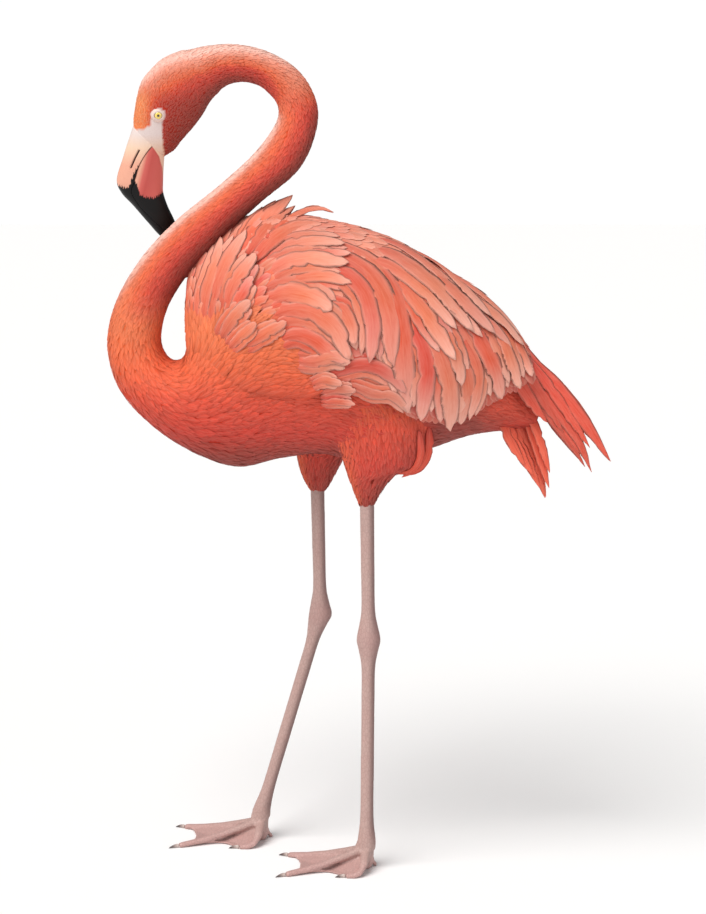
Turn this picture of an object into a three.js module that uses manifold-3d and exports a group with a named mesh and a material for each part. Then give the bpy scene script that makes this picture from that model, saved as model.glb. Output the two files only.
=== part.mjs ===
// American flamingo, standing, life size. Units are millimetres, +Z is up, the
// bird faces -X and its left side is towards -Y. The origin is on the ground,
// under the middle of the bird's box.
//
// Most of a bird is a bent tube whose section changes along it. Here each such
// body is a table of sections. A section is [backX, backZ, frontX, frontZ,
// halfWidth, middleY]: two points of the outline seen from the side, which face
// each other across the body, and the half width and place across the bird.

import * as THREE from 'three';
import { mergeVertices } from 'three/addons/utils/BufferGeometryUtils.js';
import Module from 'manifold-3d';

const wasm = await Module();
wasm.setup();

// ---- Driving dimensions -------------------------------------------------

const GAP = 0.4; // clearance between two pieces that meet
const BEYOND = 900; // reaches past the bird on every side
const SOLE = 0; // height of the flats that the bird stands on

// Neck and trunk as one run of sections, from the nape, over the arch of the
// neck, down to the breast and back to the rump.
const SPINE = [
  [-250, 1183, -199, 1123, 32, 3],
  [-212, 1191, -184, 1132, 29, 3],
  [-169, 1192, -165, 1135, 27, 2],
  [-126, 1181, -144, 1130, 26, 1],
  [-88, 1158, -130, 1119, 26, 0],
  [-65, 1127, -120, 1107, 27, -1],
  [-56, 1088, -118, 1089, 28, -2],
  [-80, 1019, -146, 1045, 30, -7],
  [-140, 966, -202, 993, 31, -12],
  [-201, 909, -262, 945, 32, -14],
  [-247, 860, -313, 892, 34, -11],
  [-276, 811, -353, 825, 38, -5],
  [-283, 766, -366, 762, 46, 0],
  [-269, 744, -347, 697, 62, 0],
  [-253, 749, -275, 627, 80, 0],
  [-229, 851, -179, 586, 94, 0],
  [-171, 901, -116, 598, 102, 0],
  [-92, 918, -57, 605, 106, 0],
  [-7, 901, -11, 597, 104, 0],
  [80, 851, 52, 602, 94, 0],
  [152, 789, 102, 613, 76, 0],
  [218, 735, 158, 632, 52, 0],
  [262, 672, 250, 643, 16, 0],
];
const NECK_CUTS = [0, 2.4, 5, 8, 10.2, 12]; // places in SPINE, last one at the trunk

// Head from the base of the bill to the nape, and the bill from base to tip.
const HEAD = [
  [-323.5, 1077, -278.5, 1033, 17],
  [-321, 1095, -266, 1039, 20],
  [-317, 1116, -250, 1058, 24],
  [-310, 1139, -234, 1076, 28],
  [-297, 1155, -221, 1094, 31],
  [-279, 1171, -211, 1111, 33],
  [-250, 1183, -199, 1123, 32],
];
const BILL = [
  [-278.5, 1033, -322.5, 1076, 16],
  [-280, 1013, -337, 1034, 17.5],
  [-281, 993, -347.5, 997, 18],
  [-281, 982, -341, 981, 17],
  [-275, 962, -325, 963, 14.5],
  [-266, 942, -302.5, 936, 11],
  [-261, 927.5, -286.5, 918, 8],
  [-257.5, 914, -266.5, 905, 3],
];
// Line of the mouth, from the corner to the tip, seen from the side.
const MOUTH = [
  [-262, 1072],
  [-296, 1049],
  [-314, 1024],
  [-322, 1000],
  [-327, 985],
  [-317, 966],
  [-301, 947],
  [-281, 928],
  [-250, 896],
];
const HEAD_TURN = 0.2; // radians that the head is turned on the neck, bill to the right
const NAPE = [-224.5, 3, 1153];
const EYE = { x: -287, z: 1093, radius: 8.5, halfSpan: 18.5 };

// Outline of the whole coat of the back and wings.
const COAT = [
  [-252, 826, -243, 700, 60, 0],
  [-240, 874, -200, 640, 86, 0],
  [-198, 920, -150, 620, 107, 0],
  [-146, 954, -100, 615, 119, 0],
  [-92, 952, -50, 615, 125, 0],
  [-42, 943, 0, 612, 127, 0],
  [8, 931, 45, 615, 127, 0],
  [60, 911, 90, 620, 122, 0],
  [118, 876, 135, 632, 110, 0],
  [176, 840, 180, 645, 90, 0],
  [212, 800, 214, 660, 70, 0],
  [244, 760, 246, 672, 54, 0],
];
const WING_REAR = 236; // where the long tip feathers come out of the wing
const WING_FRONT = [
  [-46, BEYOND + 300],
  [-46, 940],
  [-110, 842],
  [-212, 736],
  [-150, 712],
  [-80, 706],
  [-8, 706],
];
// Tips of the drooping feathers along the wing's lower edge.
const DROOPING_TIPS = [
  [22, 690],
  [64, 676],
  [92, 662],
  [125, 655],
  [150, 669],
  [174, 684],
  [200, 698],
  [226, 714],
];
const NOTCH = 15; // depth of the gaps between those tips

const WING_TIP = [
  [220, 779, 232, 678, 30, 31.5],
  [268, 731, 279, 641, 22, 23.5],
  [312, 687, 321, 614, 14, 15.5],
  [352, 632, 345, 600, 7, 8.5],
  [367, 599, 362, 593, 2.5, 4.5],
];
// A shorter feather under the point of each wing.
const UNDER_TIP = [
  [262, 700, 256, 672, 8, 22],
  [304, 650, 288, 632, 8, 18],
  [331, 614, 315, 602, 6, 13],
  [341, 581, 336, 579, 2, 9],
];
const TAIL = [
  [244, 690, 178, 684, 24],
  [254, 659, 186, 648, 26],
  [264.5, 627, 213, 620, 23],
  [274, 594, 237.5, 590, 17],
  [279, 567, 256, 565, 11],
  [276, 543, 269, 542, 4],
];

// Ruffled plumes that stand up behind the neck, from root to tip.
const CREST_PLUME = [
  [-188, 892, -85, 895, 66],
  [-172, 930, -84, 930, 50],
  [-145, 959, -88, 948, 32],
  [-119, 972, -94, 962, 16],
  [-99, 979, -95, 976, 3],
];
const CURLED_PLUME = [
  [-110, 925, -70, 915, 34],
  [-101, 950, -78, 942, 26],
  [-83, 964, -66, 952, 17],
  [-57, 966, -51, 957, 9],
  [-31, 954, -30, 952, 2],
];

// Legs: thigh sections, the joints of the bare leg as [x, y, z], the ball of the
// foot on the ground and the spread of its toes.
const LEGS = {
  left: {
    thigh: [
      [70, 724, -40, 724, 40, -50],
      [94, 690, -38, 690, 42, -50],
      [99, 654, -36, 654, 40, -50],
      [99, 624, -32, 624, 36, -50],
      [92, 601, -26, 601, 31, -50],
      [55, 583, -20, 583, 24, -50],
      [36, 561, -12, 561, 17, -50],
      [23, 537, -3.5, 537, 11, -50],
    ],
    knee: [10.6, -50, 536.4],
    hock: [13, -50, 342],
    ankle: [10.5, -50, 41],
    ball: [8, -49],
    span: 1,
  },
  right: {
    thigh: [
      [10, 724, -112, 724, 38, 50],
      [20, 690, -112, 690, 42, 50],
      [18, 654, -108, 654, 39, 50],
      [5, 626, -103, 626, 35, 50],
      [-14, 604, -96, 602, 30, 50],
      [-29, 578, -91, 578, 23, 50],
      [-38, 560, -84, 560, 17, 50],
      [-48, 544, -75, 544, 11, 50],
    ],
    knee: [-62, 50, 543.4],
    hock: [-58.5, 58, 356],
    ankle: [-149, 80, 48],
    ball: [-152, 79],
    span: 1.05,
  },
};
// Half thickness, fore and aft and across, at parts of a bone's length.
const SHANK = [[0, 10.4, 8.4], [0.5, 10, 8], [0.8, 10.2, 8.4], [1, 13, 10.5]];
const HOCK = [[0, 13, 10.5], [0.25, 16, 12], [0.5, 17.5, 12.5], [0.78, 14.5, 11.5], [1, 11, 9.5]];
const TARSUS = [[0, 11, 9.5], [0.15, 10, 8.2], [0.55, 9.8, 7.8], [0.88, 10.2, 8.2], [1, 14, 10]];
const HOCK_HALF_LENGTH = 21;

// Toes in the foot's own plan, from the ball of the foot: [x, y] of each bend.
// Each slopes down from the ankle and lies flat from `reach` on.
const TOES = {
  inner: { bends: [[-6, 3], [-58, 26], [-114, 48]], reach: 118 },
  middle: { bends: [[-6, -3], [-58, -18], [-115, -37]], reach: 118 },
  outer: { bends: [[2, -5], [-4, -36], [-12, -42], [-28, -42]], reach: 38 },
  hind: { bends: [[5, 2], [11, 7], [16, 10]], reach: 11 },
};
const TOE_HALF_HEIGHT = [7, 5.2, 4.2];
const TOE_HALF_WIDTH = [7.5, 6, 5];
const TOE_SINK = 1.2; // how much of a round toe its flat sole takes away
const TOE_RISE = 22; // how far the toes climb to the ankle
const CLAW_LENGTH = 15;
const WEB = { low: 0.8, thickness: 2.4 };

const COLOURS = {
  neck: 0xe8694a,
  breast: 0xe05a35,
  mantle: 0xf08a68,
  wing: 0xf29b85,
  wingTip: 0xd94a38,
  tail: 0xd8442c,
  leg: 0xb99a94,
  claw: 0xd9d2cc,
  billBase: 0xe8cbb6,
  billTip: 0x16120f,
  eye: 0xf0cf4a,
};

// ---- Helpers ------------------------------------------------------------

function solid(geometry) {
  geometry.deleteAttribute('normal');
  geometry.deleteAttribute('uv');
  const merged = mergeVertices(geometry, 1e-4);
  const vertProperties = new Float32Array(merged.attributes.position.array);
  const triVerts = new Uint32Array(merged.index.array);
  return new wasm.Manifold(new wasm.Mesh({ numProp: 3, vertProperties, triVerts }));
}

// A closed cylinder whose rings are laid on the sections of a table. `grow`
// makes it larger all over, for the space that a neighbour leaves free.
function body(sections, { from = 0, to = sections.length - 1, steps, sides, grow = 0 }) {
  const smooth = (points) => new THREE.CatmullRomCurve3(points, false, 'centripetal');
  const backs = smooth(sections.map(([x, z]) => new THREE.Vector3(x, 0, z)));
  const fronts = smooth(sections.map(([, , x, z]) => new THREE.Vector3(x, 0, z)));
  const across = new THREE.CatmullRomCurve3(
    sections.map((section) => new THREE.Vector3(section[4], section[5] ?? 0, 0)),
    false,
    'catmullrom',
    0.5,
  );
  const geometry = new THREE.CylinderGeometry(1, 1, 1, sides, steps);
  const { position } = geometry.attributes;
  for (let i = 0; i < position.count; i += 1) {
    const place = (from + (to - from) * (0.5 - position.getY(i))) / (sections.length - 1);
    const back = backs.getPoint(place);
    const middle = fronts.getPoint(place).add(back).multiplyScalar(0.5);
    const half = back.sub(middle);
    const { x: halfWidth, y: middleY } = across.getPoint(place);
    half.setLength(half.length() + grow);
    middle.y = middleY - position.getZ(i) * (halfWidth + grow);
    position.setXYZ(i, ...middle.addScaledVector(half, position.getX(i)));
  }
  return solid(geometry);
}

// The space on one side of a line drawn in side view, as an extrusion across
// the bird. Points are [x, z].
function sideRegion(draw) {
  const shape = new THREE.Shape();
  draw(shape);
  const geometry = new THREE.ExtrudeGeometry(shape, {
    depth: 2 * BEYOND,
    bevelEnabled: false,
    curveSegments: 3,
  });
  geometry.rotateX(Math.PI / 2);
  geometry.translate(0, BEYOND, 0);
  return solid(geometry);
}

function boxFrom([x0, y0, z0], [x1, y1, z1]) {
  const geometry = new THREE.BoxGeometry(x1 - x0, y1 - y0, z1 - z0);
  geometry.translate((x0 + x1) / 2, (y0 + y1) / 2, (z0 + z1) / 2);
  return solid(geometry);
}

function ball(x, y, z, radius) {
  const geometry = new THREE.SphereGeometry(radius, 12, 8);
  geometry.translate(x, y, z);
  return solid(geometry);
}

// A boolean can shave off slivers. The piece itself is the largest part.
function largest(shape) {
  return shape.decompose().reduce((a, b) => (a.volume() > b.volume() ? a : b));
}

function mirrored(shape) {
  return shape.mirror([0, 1, 0]);
}

// ---- The bird -----------------------------------------------------------

const flamingo = new THREE.Group();
const headGroup = new THREE.Group();
flamingo.add(headGroup);

function add(name, shape, color, roughness = 0.85, parent = flamingo) {
  const { vertProperties, triVerts } = shape.getMesh();
  const geometry = new THREE.BufferGeometry();
  geometry.setAttribute('position', new THREE.BufferAttribute(vertProperties, 3));
  geometry.setIndex(new THREE.BufferAttribute(triVerts, 1));
  geometry.computeVertexNormals();
  const material = new THREE.MeshStandardMaterial({ color, roughness, metalness: 0 });
  const mesh = new THREE.Mesh(geometry, material);
  mesh.name = name;
  parent.add(mesh);
}

// Neck, in five lengths that meet at the joints between groups of vertebrae.
function addNeck() {
  const part = 0.003; // half of a cut, in sections of the spine
  for (let i = 0; i + 1 < NECK_CUTS.length; i += 1) {
    const from = NECK_CUTS[i] + part;
    const to = NECK_CUTS[i + 1] - part;
    const length = body(SPINE, { from, to, steps: 5, sides: 16 });
    add(`neck_${i + 1}`, length, COLOURS.neck);
  }
}

function trunk(grow = 0) {
  const from = NECK_CUTS.at(-1) + 0.003;
  return body(SPINE, { from, steps: 18, sides: 20, grow });
}

// Head, bill and eyes are drawn looking straight ahead and then turned
// together about the axis of the neck at the nape.
function addHead() {
  const eyes = [-1, 1].map((side) => [EYE.x, side * EYE.halfSpan, EYE.z]);
  let head = body(HEAD, { to: HEAD.length - 1 - 0.008, steps: 10, sides: 16 });
  for (const [x, y, z] of eyes) {
    head = head.subtract(ball(x, y, z, EYE.radius + GAP));
  }
  add('head', head, COLOURS.neck, 0.85, headGroup);
  add('eye_left', ball(...eyes[0], EYE.radius), COLOURS.eye, 0.1, headGroup);
  add('eye_right', ball(...eyes[1], EYE.radius), COLOURS.eye, 0.1, headGroup);

  const bill = body(BILL, { from: 0.02, steps: 12, sides: 12 });
  const below = (shift) => sideRegion((shape) => {
    const line = MOUTH.map(([x, z]) => new THREE.Vector2(x + shift, z));
    shape.moveTo(line[0].x, line[0].y);
    shape.splineThru(line.slice(1));
    shape.lineTo(BEYOND, MOUTH.at(-1)[1]);
    shape.lineTo(BEYOND, MOUTH[0][1]);
  });
  add('bill_upper', largest(bill.subtract(below(-GAP / 2))), COLOURS.billBase, 0.4, headGroup);
  add('bill_lower', largest(bill.intersect(below(GAP / 2))), COLOURS.billTip, 0.4, headGroup);

  const [backX, backZ, frontX, frontZ] = HEAD.at(-1);
  const axis = new THREE.Vector3(backZ - frontZ, 0, frontX - backX).normalize();
  const nape = new THREE.Vector3(...NAPE);
  headGroup.quaternion.setFromAxisAngle(axis, HEAD_TURN);
  headGroup.position.set(0, NAPE[1], 0).add(
    nape.clone().setY(0).sub(nape.clone().setY(0).applyQuaternion(headGroup.quaternion)),
  );
}

// Side outline of a folded wing: straight cuts at the front, then one rounded
// feather tip after another along the lower edge.
function wingRegion(grow) {
  return sideRegion((shape) => {
    WING_FRONT.forEach(([x, z], i) => {
      const [px, pz] = [x - grow, z - grow];
      if (i === 0) shape.moveTo(px, pz);
      else shape.lineTo(px, pz);
    });
    DROOPING_TIPS.forEach(([x, z], i) => {
      const [nextX, nextZ] = DROOPING_TIPS[i + 1] ?? [2 * WING_REAR - x, z];
      const [endX, endZ] = [(x + nextX) / 2, (z + nextZ) / 2 + NOTCH];
      shape.quadraticCurveTo(x - 10, z - grow, x, z - grow);
      shape.quadraticCurveTo(x + 8, z - grow, endX, endZ - grow);
    });
    shape.lineTo(WING_REAR, WING_FRONT[0][1]);
  });
}

function addPlumage(trunkSpace, thighSpace) {
  const coat = body(COAT, { steps: 15, sides: 20 });
  const leftHalf = boxFrom([-BEYOND, -BEYOND, 0], [BEYOND, -GAP / 2, 2 * BEYOND]);
  const wings = coat.intersect(wingRegion(0)).subtract(trunkSpace).subtract(thighSpace);
  add('wing_left', largest(wings.intersect(leftHalf)), COLOURS.wing);
  add('wing_right', largest(wings.intersect(mirrored(leftHalf))), COLOURS.wing);

  const neckSpace = body(SPINE, { from: 5, to: 12, steps: 14, sides: 12, grow: 1.5 });
  const front = boxFrom([-BEYOND, -BEYOND, 700], [10, BEYOND, 2 * BEYOND]);
  const plumes = body(CREST_PLUME, { steps: 6, sides: 12 })
    .add(body(CURLED_PLUME, { steps: 6, sides: 8 }));
  const mantle = coat.subtract(wingRegion(GAP)).add(plumes.subtract(wingRegion(GAP)))
    .intersect(front).subtract(trunkSpace).subtract(neckSpace);
  add('mantle', largest(mantle), COLOURS.mantle);

  const behindWing = boxFrom([WING_REAR + GAP, -BEYOND, 0], [BEYOND, 0, 2 * BEYOND]);
  const tips = (grow) => {
    const right = body(WING_TIP, { steps: 6, sides: 12, grow })
      .add(body(UNDER_TIP, { steps: 4, sides: 8, grow }));
    return mirrored(right).intersect(behindWing);
  };
  const tip = tips(0);
  add('wing_tip_left', largest(tip.subtract(trunkSpace)), COLOURS.wingTip);
  add('wing_tip_right', largest(mirrored(tip).subtract(trunkSpace)), COLOURS.wingTip);

  const tipSpace = tips(GAP).add(mirrored(tips(GAP)));
  const tail = body(TAIL, { steps: 7, sides: 12 }).subtract(trunkSpace).subtract(tipSpace);
  const belowWings = boxFrom([-BEYOND, -BEYOND, 0], [BEYOND, BEYOND, 665]);
  add('tail', largest(tail.intersect(belowWings)), COLOURS.tail);
}

// A bone between two joints as level sections, so that its ends are level and
// meet the next bone face to face.
function bone([ax, ay, az], [bx, by, bz], stations) {
  return stations.map(([part, depth, width]) => {
    const x = ax + (bx - ax) * part;
    const z = az + (bz - az) * part;
    return [x + depth, z, x - depth, z, width, ay + (by - ay) * part];
  });
}

function between(a, b, distance) {
  const [from, to] = [new THREE.Vector3(...a), new THREE.Vector3(...b)];
  return from.add(to.sub(from).setLength(distance)).toArray();
}

function addLeg(name, leg) {
  const hockTop = between(leg.hock, leg.knee, HOCK_HALF_LENGTH);
  const hockBottom = between(leg.hock, leg.ankle, HOCK_HALF_LENGTH);
  const bones = {
    shank: [leg.knee, between(hockTop, leg.knee, GAP), SHANK, 4],
    hock: [hockTop, hockBottom, HOCK, 6],
    tarsus: [between(hockBottom, leg.ankle, GAP), leg.ankle, TARSUS, 6],
  };
  for (const [part, [top, bottom, stations, steps]] of Object.entries(bones)) {
    const shape = body(bone(top, bottom, stations), { steps, sides: 8 });
    add(`${part}_${name}`, shape, COLOURS.leg, 0.6);
  }
}

function riseAt(distance, reach) {
  return TOE_RISE * Math.max(0, 1 - distance / reach) ** 1.4;
}

function toeCurve(bends) {
  return new THREE.CatmullRomCurve3(bends.map(([x, y]) => new THREE.Vector3(x, y, 0)));
}

// A toe follows its bends on the ground and tapers towards the claw.
function toe({ bends, reach }) {
  const curve = toeCurve(bends);
  const length = curve.getLength();
  const geometry = new THREE.CylinderGeometry(1, 1, 1, 8, 4);
  const { position } = geometry.attributes;
  const sizes = (values, t) => {
    const spot = Math.min(t, 0.9999) * (values.length - 1);
    return THREE.MathUtils.lerp(values[Math.floor(spot)], values[Math.floor(spot) + 1], spot % 1);
  };
  for (let i = 0; i < position.count; i += 1) {
    const t = 0.5 - position.getY(i);
    const point = curve.getPoint(t);
    const across = new THREE.Vector3(0, 0, 1).cross(curve.getTangent(t));
    const height = sizes(TOE_HALF_HEIGHT, t);
    const rise = riseAt(t * length, reach);
    point.addScaledVector(across, position.getX(i) * sizes(TOE_HALF_WIDTH, t));
    point.z = rise + height - TOE_SINK + position.getZ(i) * height;
    position.setXYZ(i, ...point);
  }
  return solid(geometry);
}

// One web from the inner toe, behind the middle one, to the outer, with a
// hollow margin between each two toes.
function web() {
  const [, , [innerX, innerY]] = TOES.inner.bends;
  const [, , [middleX, middleY]] = TOES.middle.bends;
  const [, [bendX, bendY]] = TOES.outer.bends;
  const outline = new THREE.Shape();
  outline.moveTo(0, 0);
  outline.lineTo(0.93 * innerX, 0.93 * innerY);
  outline.quadraticCurveTo(-84, 4, 0.93 * middleX, 0.93 * middleY);
  outline.quadraticCurveTo(-74, -20, -54, -23);
  outline.quadraticCurveTo(-44, -26, -38, -36);
  outline.lineTo(-24, -38);
  outline.lineTo(bendX, bendY);
  const geometry = new THREE.ExtrudeGeometry(outline, {
    depth: WEB.thickness,
    bevelEnabled: false,
    curveSegments: 5,
  });
  const { position } = geometry.attributes;
  for (let i = 0; i < position.count; i += 1) {
    const rise = riseAt(Math.hypot(position.getX(i), position.getY(i)), TOES.outer.reach);
    position.setZ(i, position.getZ(i) + WEB.low + rise);
  }
  return solid(geometry);
}

// A claw leaves the end of its toe level and droops to a point.
function claw({ bends }) {
  const tangent = toeCurve(bends).getTangent(1);
  const heading = Math.atan2(tangent.y, tangent.x);
  const [endX, endY] = bends.at(-1);
  const height = TOE_HALF_HEIGHT.at(-1) - TOE_SINK;
  const sections = [
    [0, 3.4, 0.2],
    [0.35, 2.9, 0.4],
    [0.7, 1.8, -0.6],
    [1, 0.5, -2.2],
  ].map(([part, half, lift]) => {
    const x = part * CLAW_LENGTH;
    return [x, height + lift + half, x, height + lift - half, half * 0.85];
  });
  return body(sections, { steps: 3, sides: 6 })
    .rotate([0, 0, THREE.MathUtils.radToDeg(heading)])
    .translate([endX + GAP * tangent.x, endY + GAP * tangent.y, 0]);
}

function addFoot(name, leg) {
  const [x, y] = leg.ball;
  const spread = (shape) => shape.scale([leg.span, leg.span, 1]).translate([x, y, 0]);
  const aboveGround = boxFrom([-BEYOND, -BEYOND, SOLE], [BEYOND, BEYOND, leg.ankle[2] - GAP]);
  const lean = leg.ankle[0] - x;
  const heel = body([
    [lean + 14, leg.ankle[2] + 2, lean - 14, leg.ankle[2] + 2, 10, leg.ankle[1] - y],
    [13, 26, -17, 26, 10, 0],
    [13, 10, -20, 10, 11, 0],
    [8, -2, -15, -2, 9, 0],
  ], { steps: 4, sides: 8 });
  let foot = web();
  for (const digit of Object.values(TOES)) {
    foot = foot.add(toe(digit));
  }
  foot = spread(foot).add(heel.translate([x, y, 0])).intersect(aboveGround);
  add(`foot_${name}`, largest(foot), COLOURS.leg, 0.6);
  for (const digit of ['inner', 'middle', 'outer']) {
    add(`claw_${digit}_${name}`, spread(claw(TOES[digit])), COLOURS.claw, 0.4);
  }
}

const trunkSpace = trunk(GAP);
const thigh = (leg, grow = 0) => body(leg.thigh, { steps: 9, sides: 16, grow });
const thighSpace = thigh(LEGS.left, GAP).add(thigh(LEGS.right, GAP));

addHead();
addNeck();
add('trunk', trunk(), COLOURS.breast);
addPlumage(trunkSpace, thighSpace);
for (const [name, leg] of Object.entries(LEGS)) {
  add(`thigh_${name}`, largest(thigh(leg).subtract(trunkSpace)), COLOURS.breast);
  addLeg(name, leg);
  addFoot(name, leg);
}

export default flamingo;
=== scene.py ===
# %% [markdown]
# A life-size flamingo. The solids that carry its size are loaded first, and everything made
# here sits over them in metres: +Z is up, the bird faces -X and its left side is towards -Y.
# What is made: one skin, a horn bill, two eyes, claws, and a coat of separate feathers.

# %% Load the solids
from collections import namedtuple

import bmesh
import bpy
import numpy as np
from mathutils import Matrix, Vector
from mathutils.bvhtree import BVHTree


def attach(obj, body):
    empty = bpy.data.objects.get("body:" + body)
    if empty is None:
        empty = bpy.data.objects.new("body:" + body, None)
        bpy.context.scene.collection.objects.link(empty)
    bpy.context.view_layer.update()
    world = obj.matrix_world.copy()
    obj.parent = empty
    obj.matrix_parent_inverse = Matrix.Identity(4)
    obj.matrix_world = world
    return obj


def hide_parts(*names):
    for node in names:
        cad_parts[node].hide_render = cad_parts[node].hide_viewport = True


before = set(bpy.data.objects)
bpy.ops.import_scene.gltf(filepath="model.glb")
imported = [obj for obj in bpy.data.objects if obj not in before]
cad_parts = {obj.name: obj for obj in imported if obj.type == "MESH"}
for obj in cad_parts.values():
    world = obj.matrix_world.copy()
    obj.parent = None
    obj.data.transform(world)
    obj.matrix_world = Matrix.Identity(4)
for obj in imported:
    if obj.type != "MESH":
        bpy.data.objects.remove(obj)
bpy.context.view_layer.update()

# %% [markdown]
# The view comes next, so that every piece can be judged in it. A long lens from 2.7 m away, a
# little above the bird's shoulder, keeps the legs and the head in true proportion. The floor is
# a wide pale disc under a white sky, so that no horizon cuts the picture, and the light is soft:
# a broad sun from the upper left, a weaker one from the right, and the sky.

# %% Camera, light and floor
CAMERA_PLACE, LOOK_DOWN, LENS, SENSOR = (-0.0095, -2.7, 0.95), 7.35, 73.8, 36
SKY_LIGHT, SKY_SHOWN, FLOOR_RADIUS = 0.27, 1.02, 200
scene = bpy.context.scene


def placed(data, name):
    """Puts data into the scene as an object at the origin."""
    made = bpy.data.objects.new(name, data)
    scene.collection.objects.link(made)
    return made


def object_from(bm, name, smooth=True):
    """Closes a bmesh into an object at the origin."""
    mesh = bpy.data.meshes.new(name)
    bm.to_mesh(mesh)
    bm.free()
    if smooth:
        mesh.shade_smooth()
    return placed(mesh, name)


def sun(name, toward, strength, spread, colour):
    light = placed(bpy.data.lights.new(name, "SUN"), name)
    light.data.energy, light.data.angle, light.data.color = strength, np.radians(spread), colour
    light.rotation_euler = Vector(toward).to_track_quat("Z", "Y").to_euler()


camera = placed(bpy.data.cameras.new("camera"), "camera")
camera.location, camera.rotation_euler = CAMERA_PLACE, (np.radians(90 - LOOK_DOWN), 0, 0)
camera.data.lens, camera.data.sensor_width = LENS, SENSOR
scene.camera = camera
sun("key", (-0.5, -0.6, 1.0), 3.0, 45, (1, 0.985, 0.96))
sun("fill", (0.75, -0.8, 0.35), 0.5, 50, (0.97, 0.98, 1))

scene.view_settings.view_transform = "Standard"
scene.world = bpy.data.worlds.new("studio")
scene.world.use_nodes = True
sky = scene.world.node_tree
seen = sky.nodes.new("ShaderNodeLightPath").outputs["Is Camera Ray"]
lit, shown = sky.nodes["Background"], sky.nodes.new("ShaderNodeBackground")
for background, strength in ((lit, SKY_LIGHT), (shown, SKY_SHOWN)):
    background.inputs["Color"].default_value = (1, 1, 1, 1)
    background.inputs["Strength"].default_value = strength
both = sky.nodes.new("ShaderNodeMixShader")
for socket, link in zip(both.inputs, (seen, lit.outputs[0], shown.outputs[0])):
    sky.links.new(link, socket)
sky.links.new(both.outputs[0], sky.nodes["World Output"].inputs["Surface"])

bm = bmesh.new()
bmesh.ops.create_circle(bm, cap_ends=True, segments=96, radius=FLOOR_RADIUS)
floor = object_from(bm, "floor")

# %% [markdown]
# Shader maths reads best as plain expressions, so a socket is wrapped in a small class whose
# operators add the nodes. Every other node comes from one method that takes a type, its
# settings and its inputs. Colours go through Mix nodes, because Math would turn them grey.


# %% Sockets as values
class Socket:
    def __init__(self, maker, socket):
        self.maker, self.socket = maker, socket

    def math(self, operation, *others):
        inputs = dict(enumerate((self, *others)))
        return self.maker.node("ShaderNodeMath", {"operation": operation}, inputs)

    def __add__(self, other):
        return self.math("ADD", other)

    def __sub__(self, other):
        return self.math("SUBTRACT", other)

    def __rsub__(self, other):
        return self.math("MULTIPLY_ADD", -1, other)

    def __mul__(self, other):
        return self.math("MULTIPLY", other)

    __radd__, __rmul__ = __add__, __mul__


class Finish:
    """A material with one Principled shader, and a way to add nodes to it."""

    def __init__(self, name, **constants):
        self.material = bpy.data.materials.new(name)
        self.material.use_nodes = True
        self.nodes, self.links = self.material.node_tree.nodes, self.material.node_tree.links
        self.shader = self.nodes["Principled BSDF"]
        self.plug(constants)

    def node(self, kind, settings=None, inputs=None, output=0):
        made = self.nodes.new(kind)
        for key, value in (settings or {}).items():
            if key == "stops":
                ramp = made.color_ramp
                while len(ramp.elements) < len(value):
                    ramp.elements.new(0.5)
                for element, (place, colour) in zip(ramp.elements, value):
                    element.position, element.color = place, (*colour, 1)
            else:
                setattr(made, key, value)
        self.fill(made, inputs or {})
        return Socket(self, made.outputs[output])

    def fill(self, made, inputs):
        for key, value in inputs.items():
            if isinstance(value, Socket):
                self.links.new(value.socket, made.inputs[key])
            else:
                made.inputs[key].default_value = value

    def plug(self, inputs):
        named = {key.replace("_", " ").title().replace("Ior", "IOR"): inputs[key] for key in inputs}
        self.fill(self.shader, named)

    def attribute(self, name, output="Color"):
        return self.node("ShaderNodeAttribute", {"attribute_name": name}, output=output)

    def place(self, stretch=(1, 1, 1)):
        """The place on the bird, stretched along each axis."""
        where = self.node("ShaderNodeTexCoord", output="Object")
        return self.node("ShaderNodeMapping", {}, {"Vector": where, "Scale": stretch})

    def noise(self, scale, detail=3, stretch=(1, 1, 1)):
        where = self.place(stretch)
        return self.node("ShaderNodeTexNoise", {}, {"Vector": where, "Scale": scale, "Detail": detail})

    def step(self, value, low, high):
        """0 below low, 1 above high, smooth between."""
        inputs = {"Value": value, "From Min": low, "From Max": high}
        return self.node("ShaderNodeMapRange", {"interpolation_type": "SMOOTHSTEP"}, inputs)

    def mix(self, amount, a, b, how="MIX"):
        settings = {"data_type": "RGBA", "blend_type": how}
        return self.node("ShaderNodeMix", settings, {0: amount, 6: a, 7: b}, output=2)

    def bump(self, height, distance, strength=1.0):
        inputs = {"Height": height, "Distance": distance, "Strength": strength}
        self.plug({"normal": self.node("ShaderNodeBump", {}, inputs)})


ground = Finish("pale_floor", base_color=(0.97, 0.97, 0.975, 1), roughness=1.0, specular_ior_level=0.2)
floor.data.materials.append(ground.material)

# %% [markdown]
# A bird's body is a bent tube whose section changes along it, so neck, trunk, head, bill, wing
# coat and legs are tables of sections in millimetres: two facing points of the outline in side
# view, the half width and the place across the bird. The solids use the same tables. A class
# turns a table into a smooth surface with two coordinates, one along and one around, and every
# feather later gets its place on the bird from those two numbers.

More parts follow.
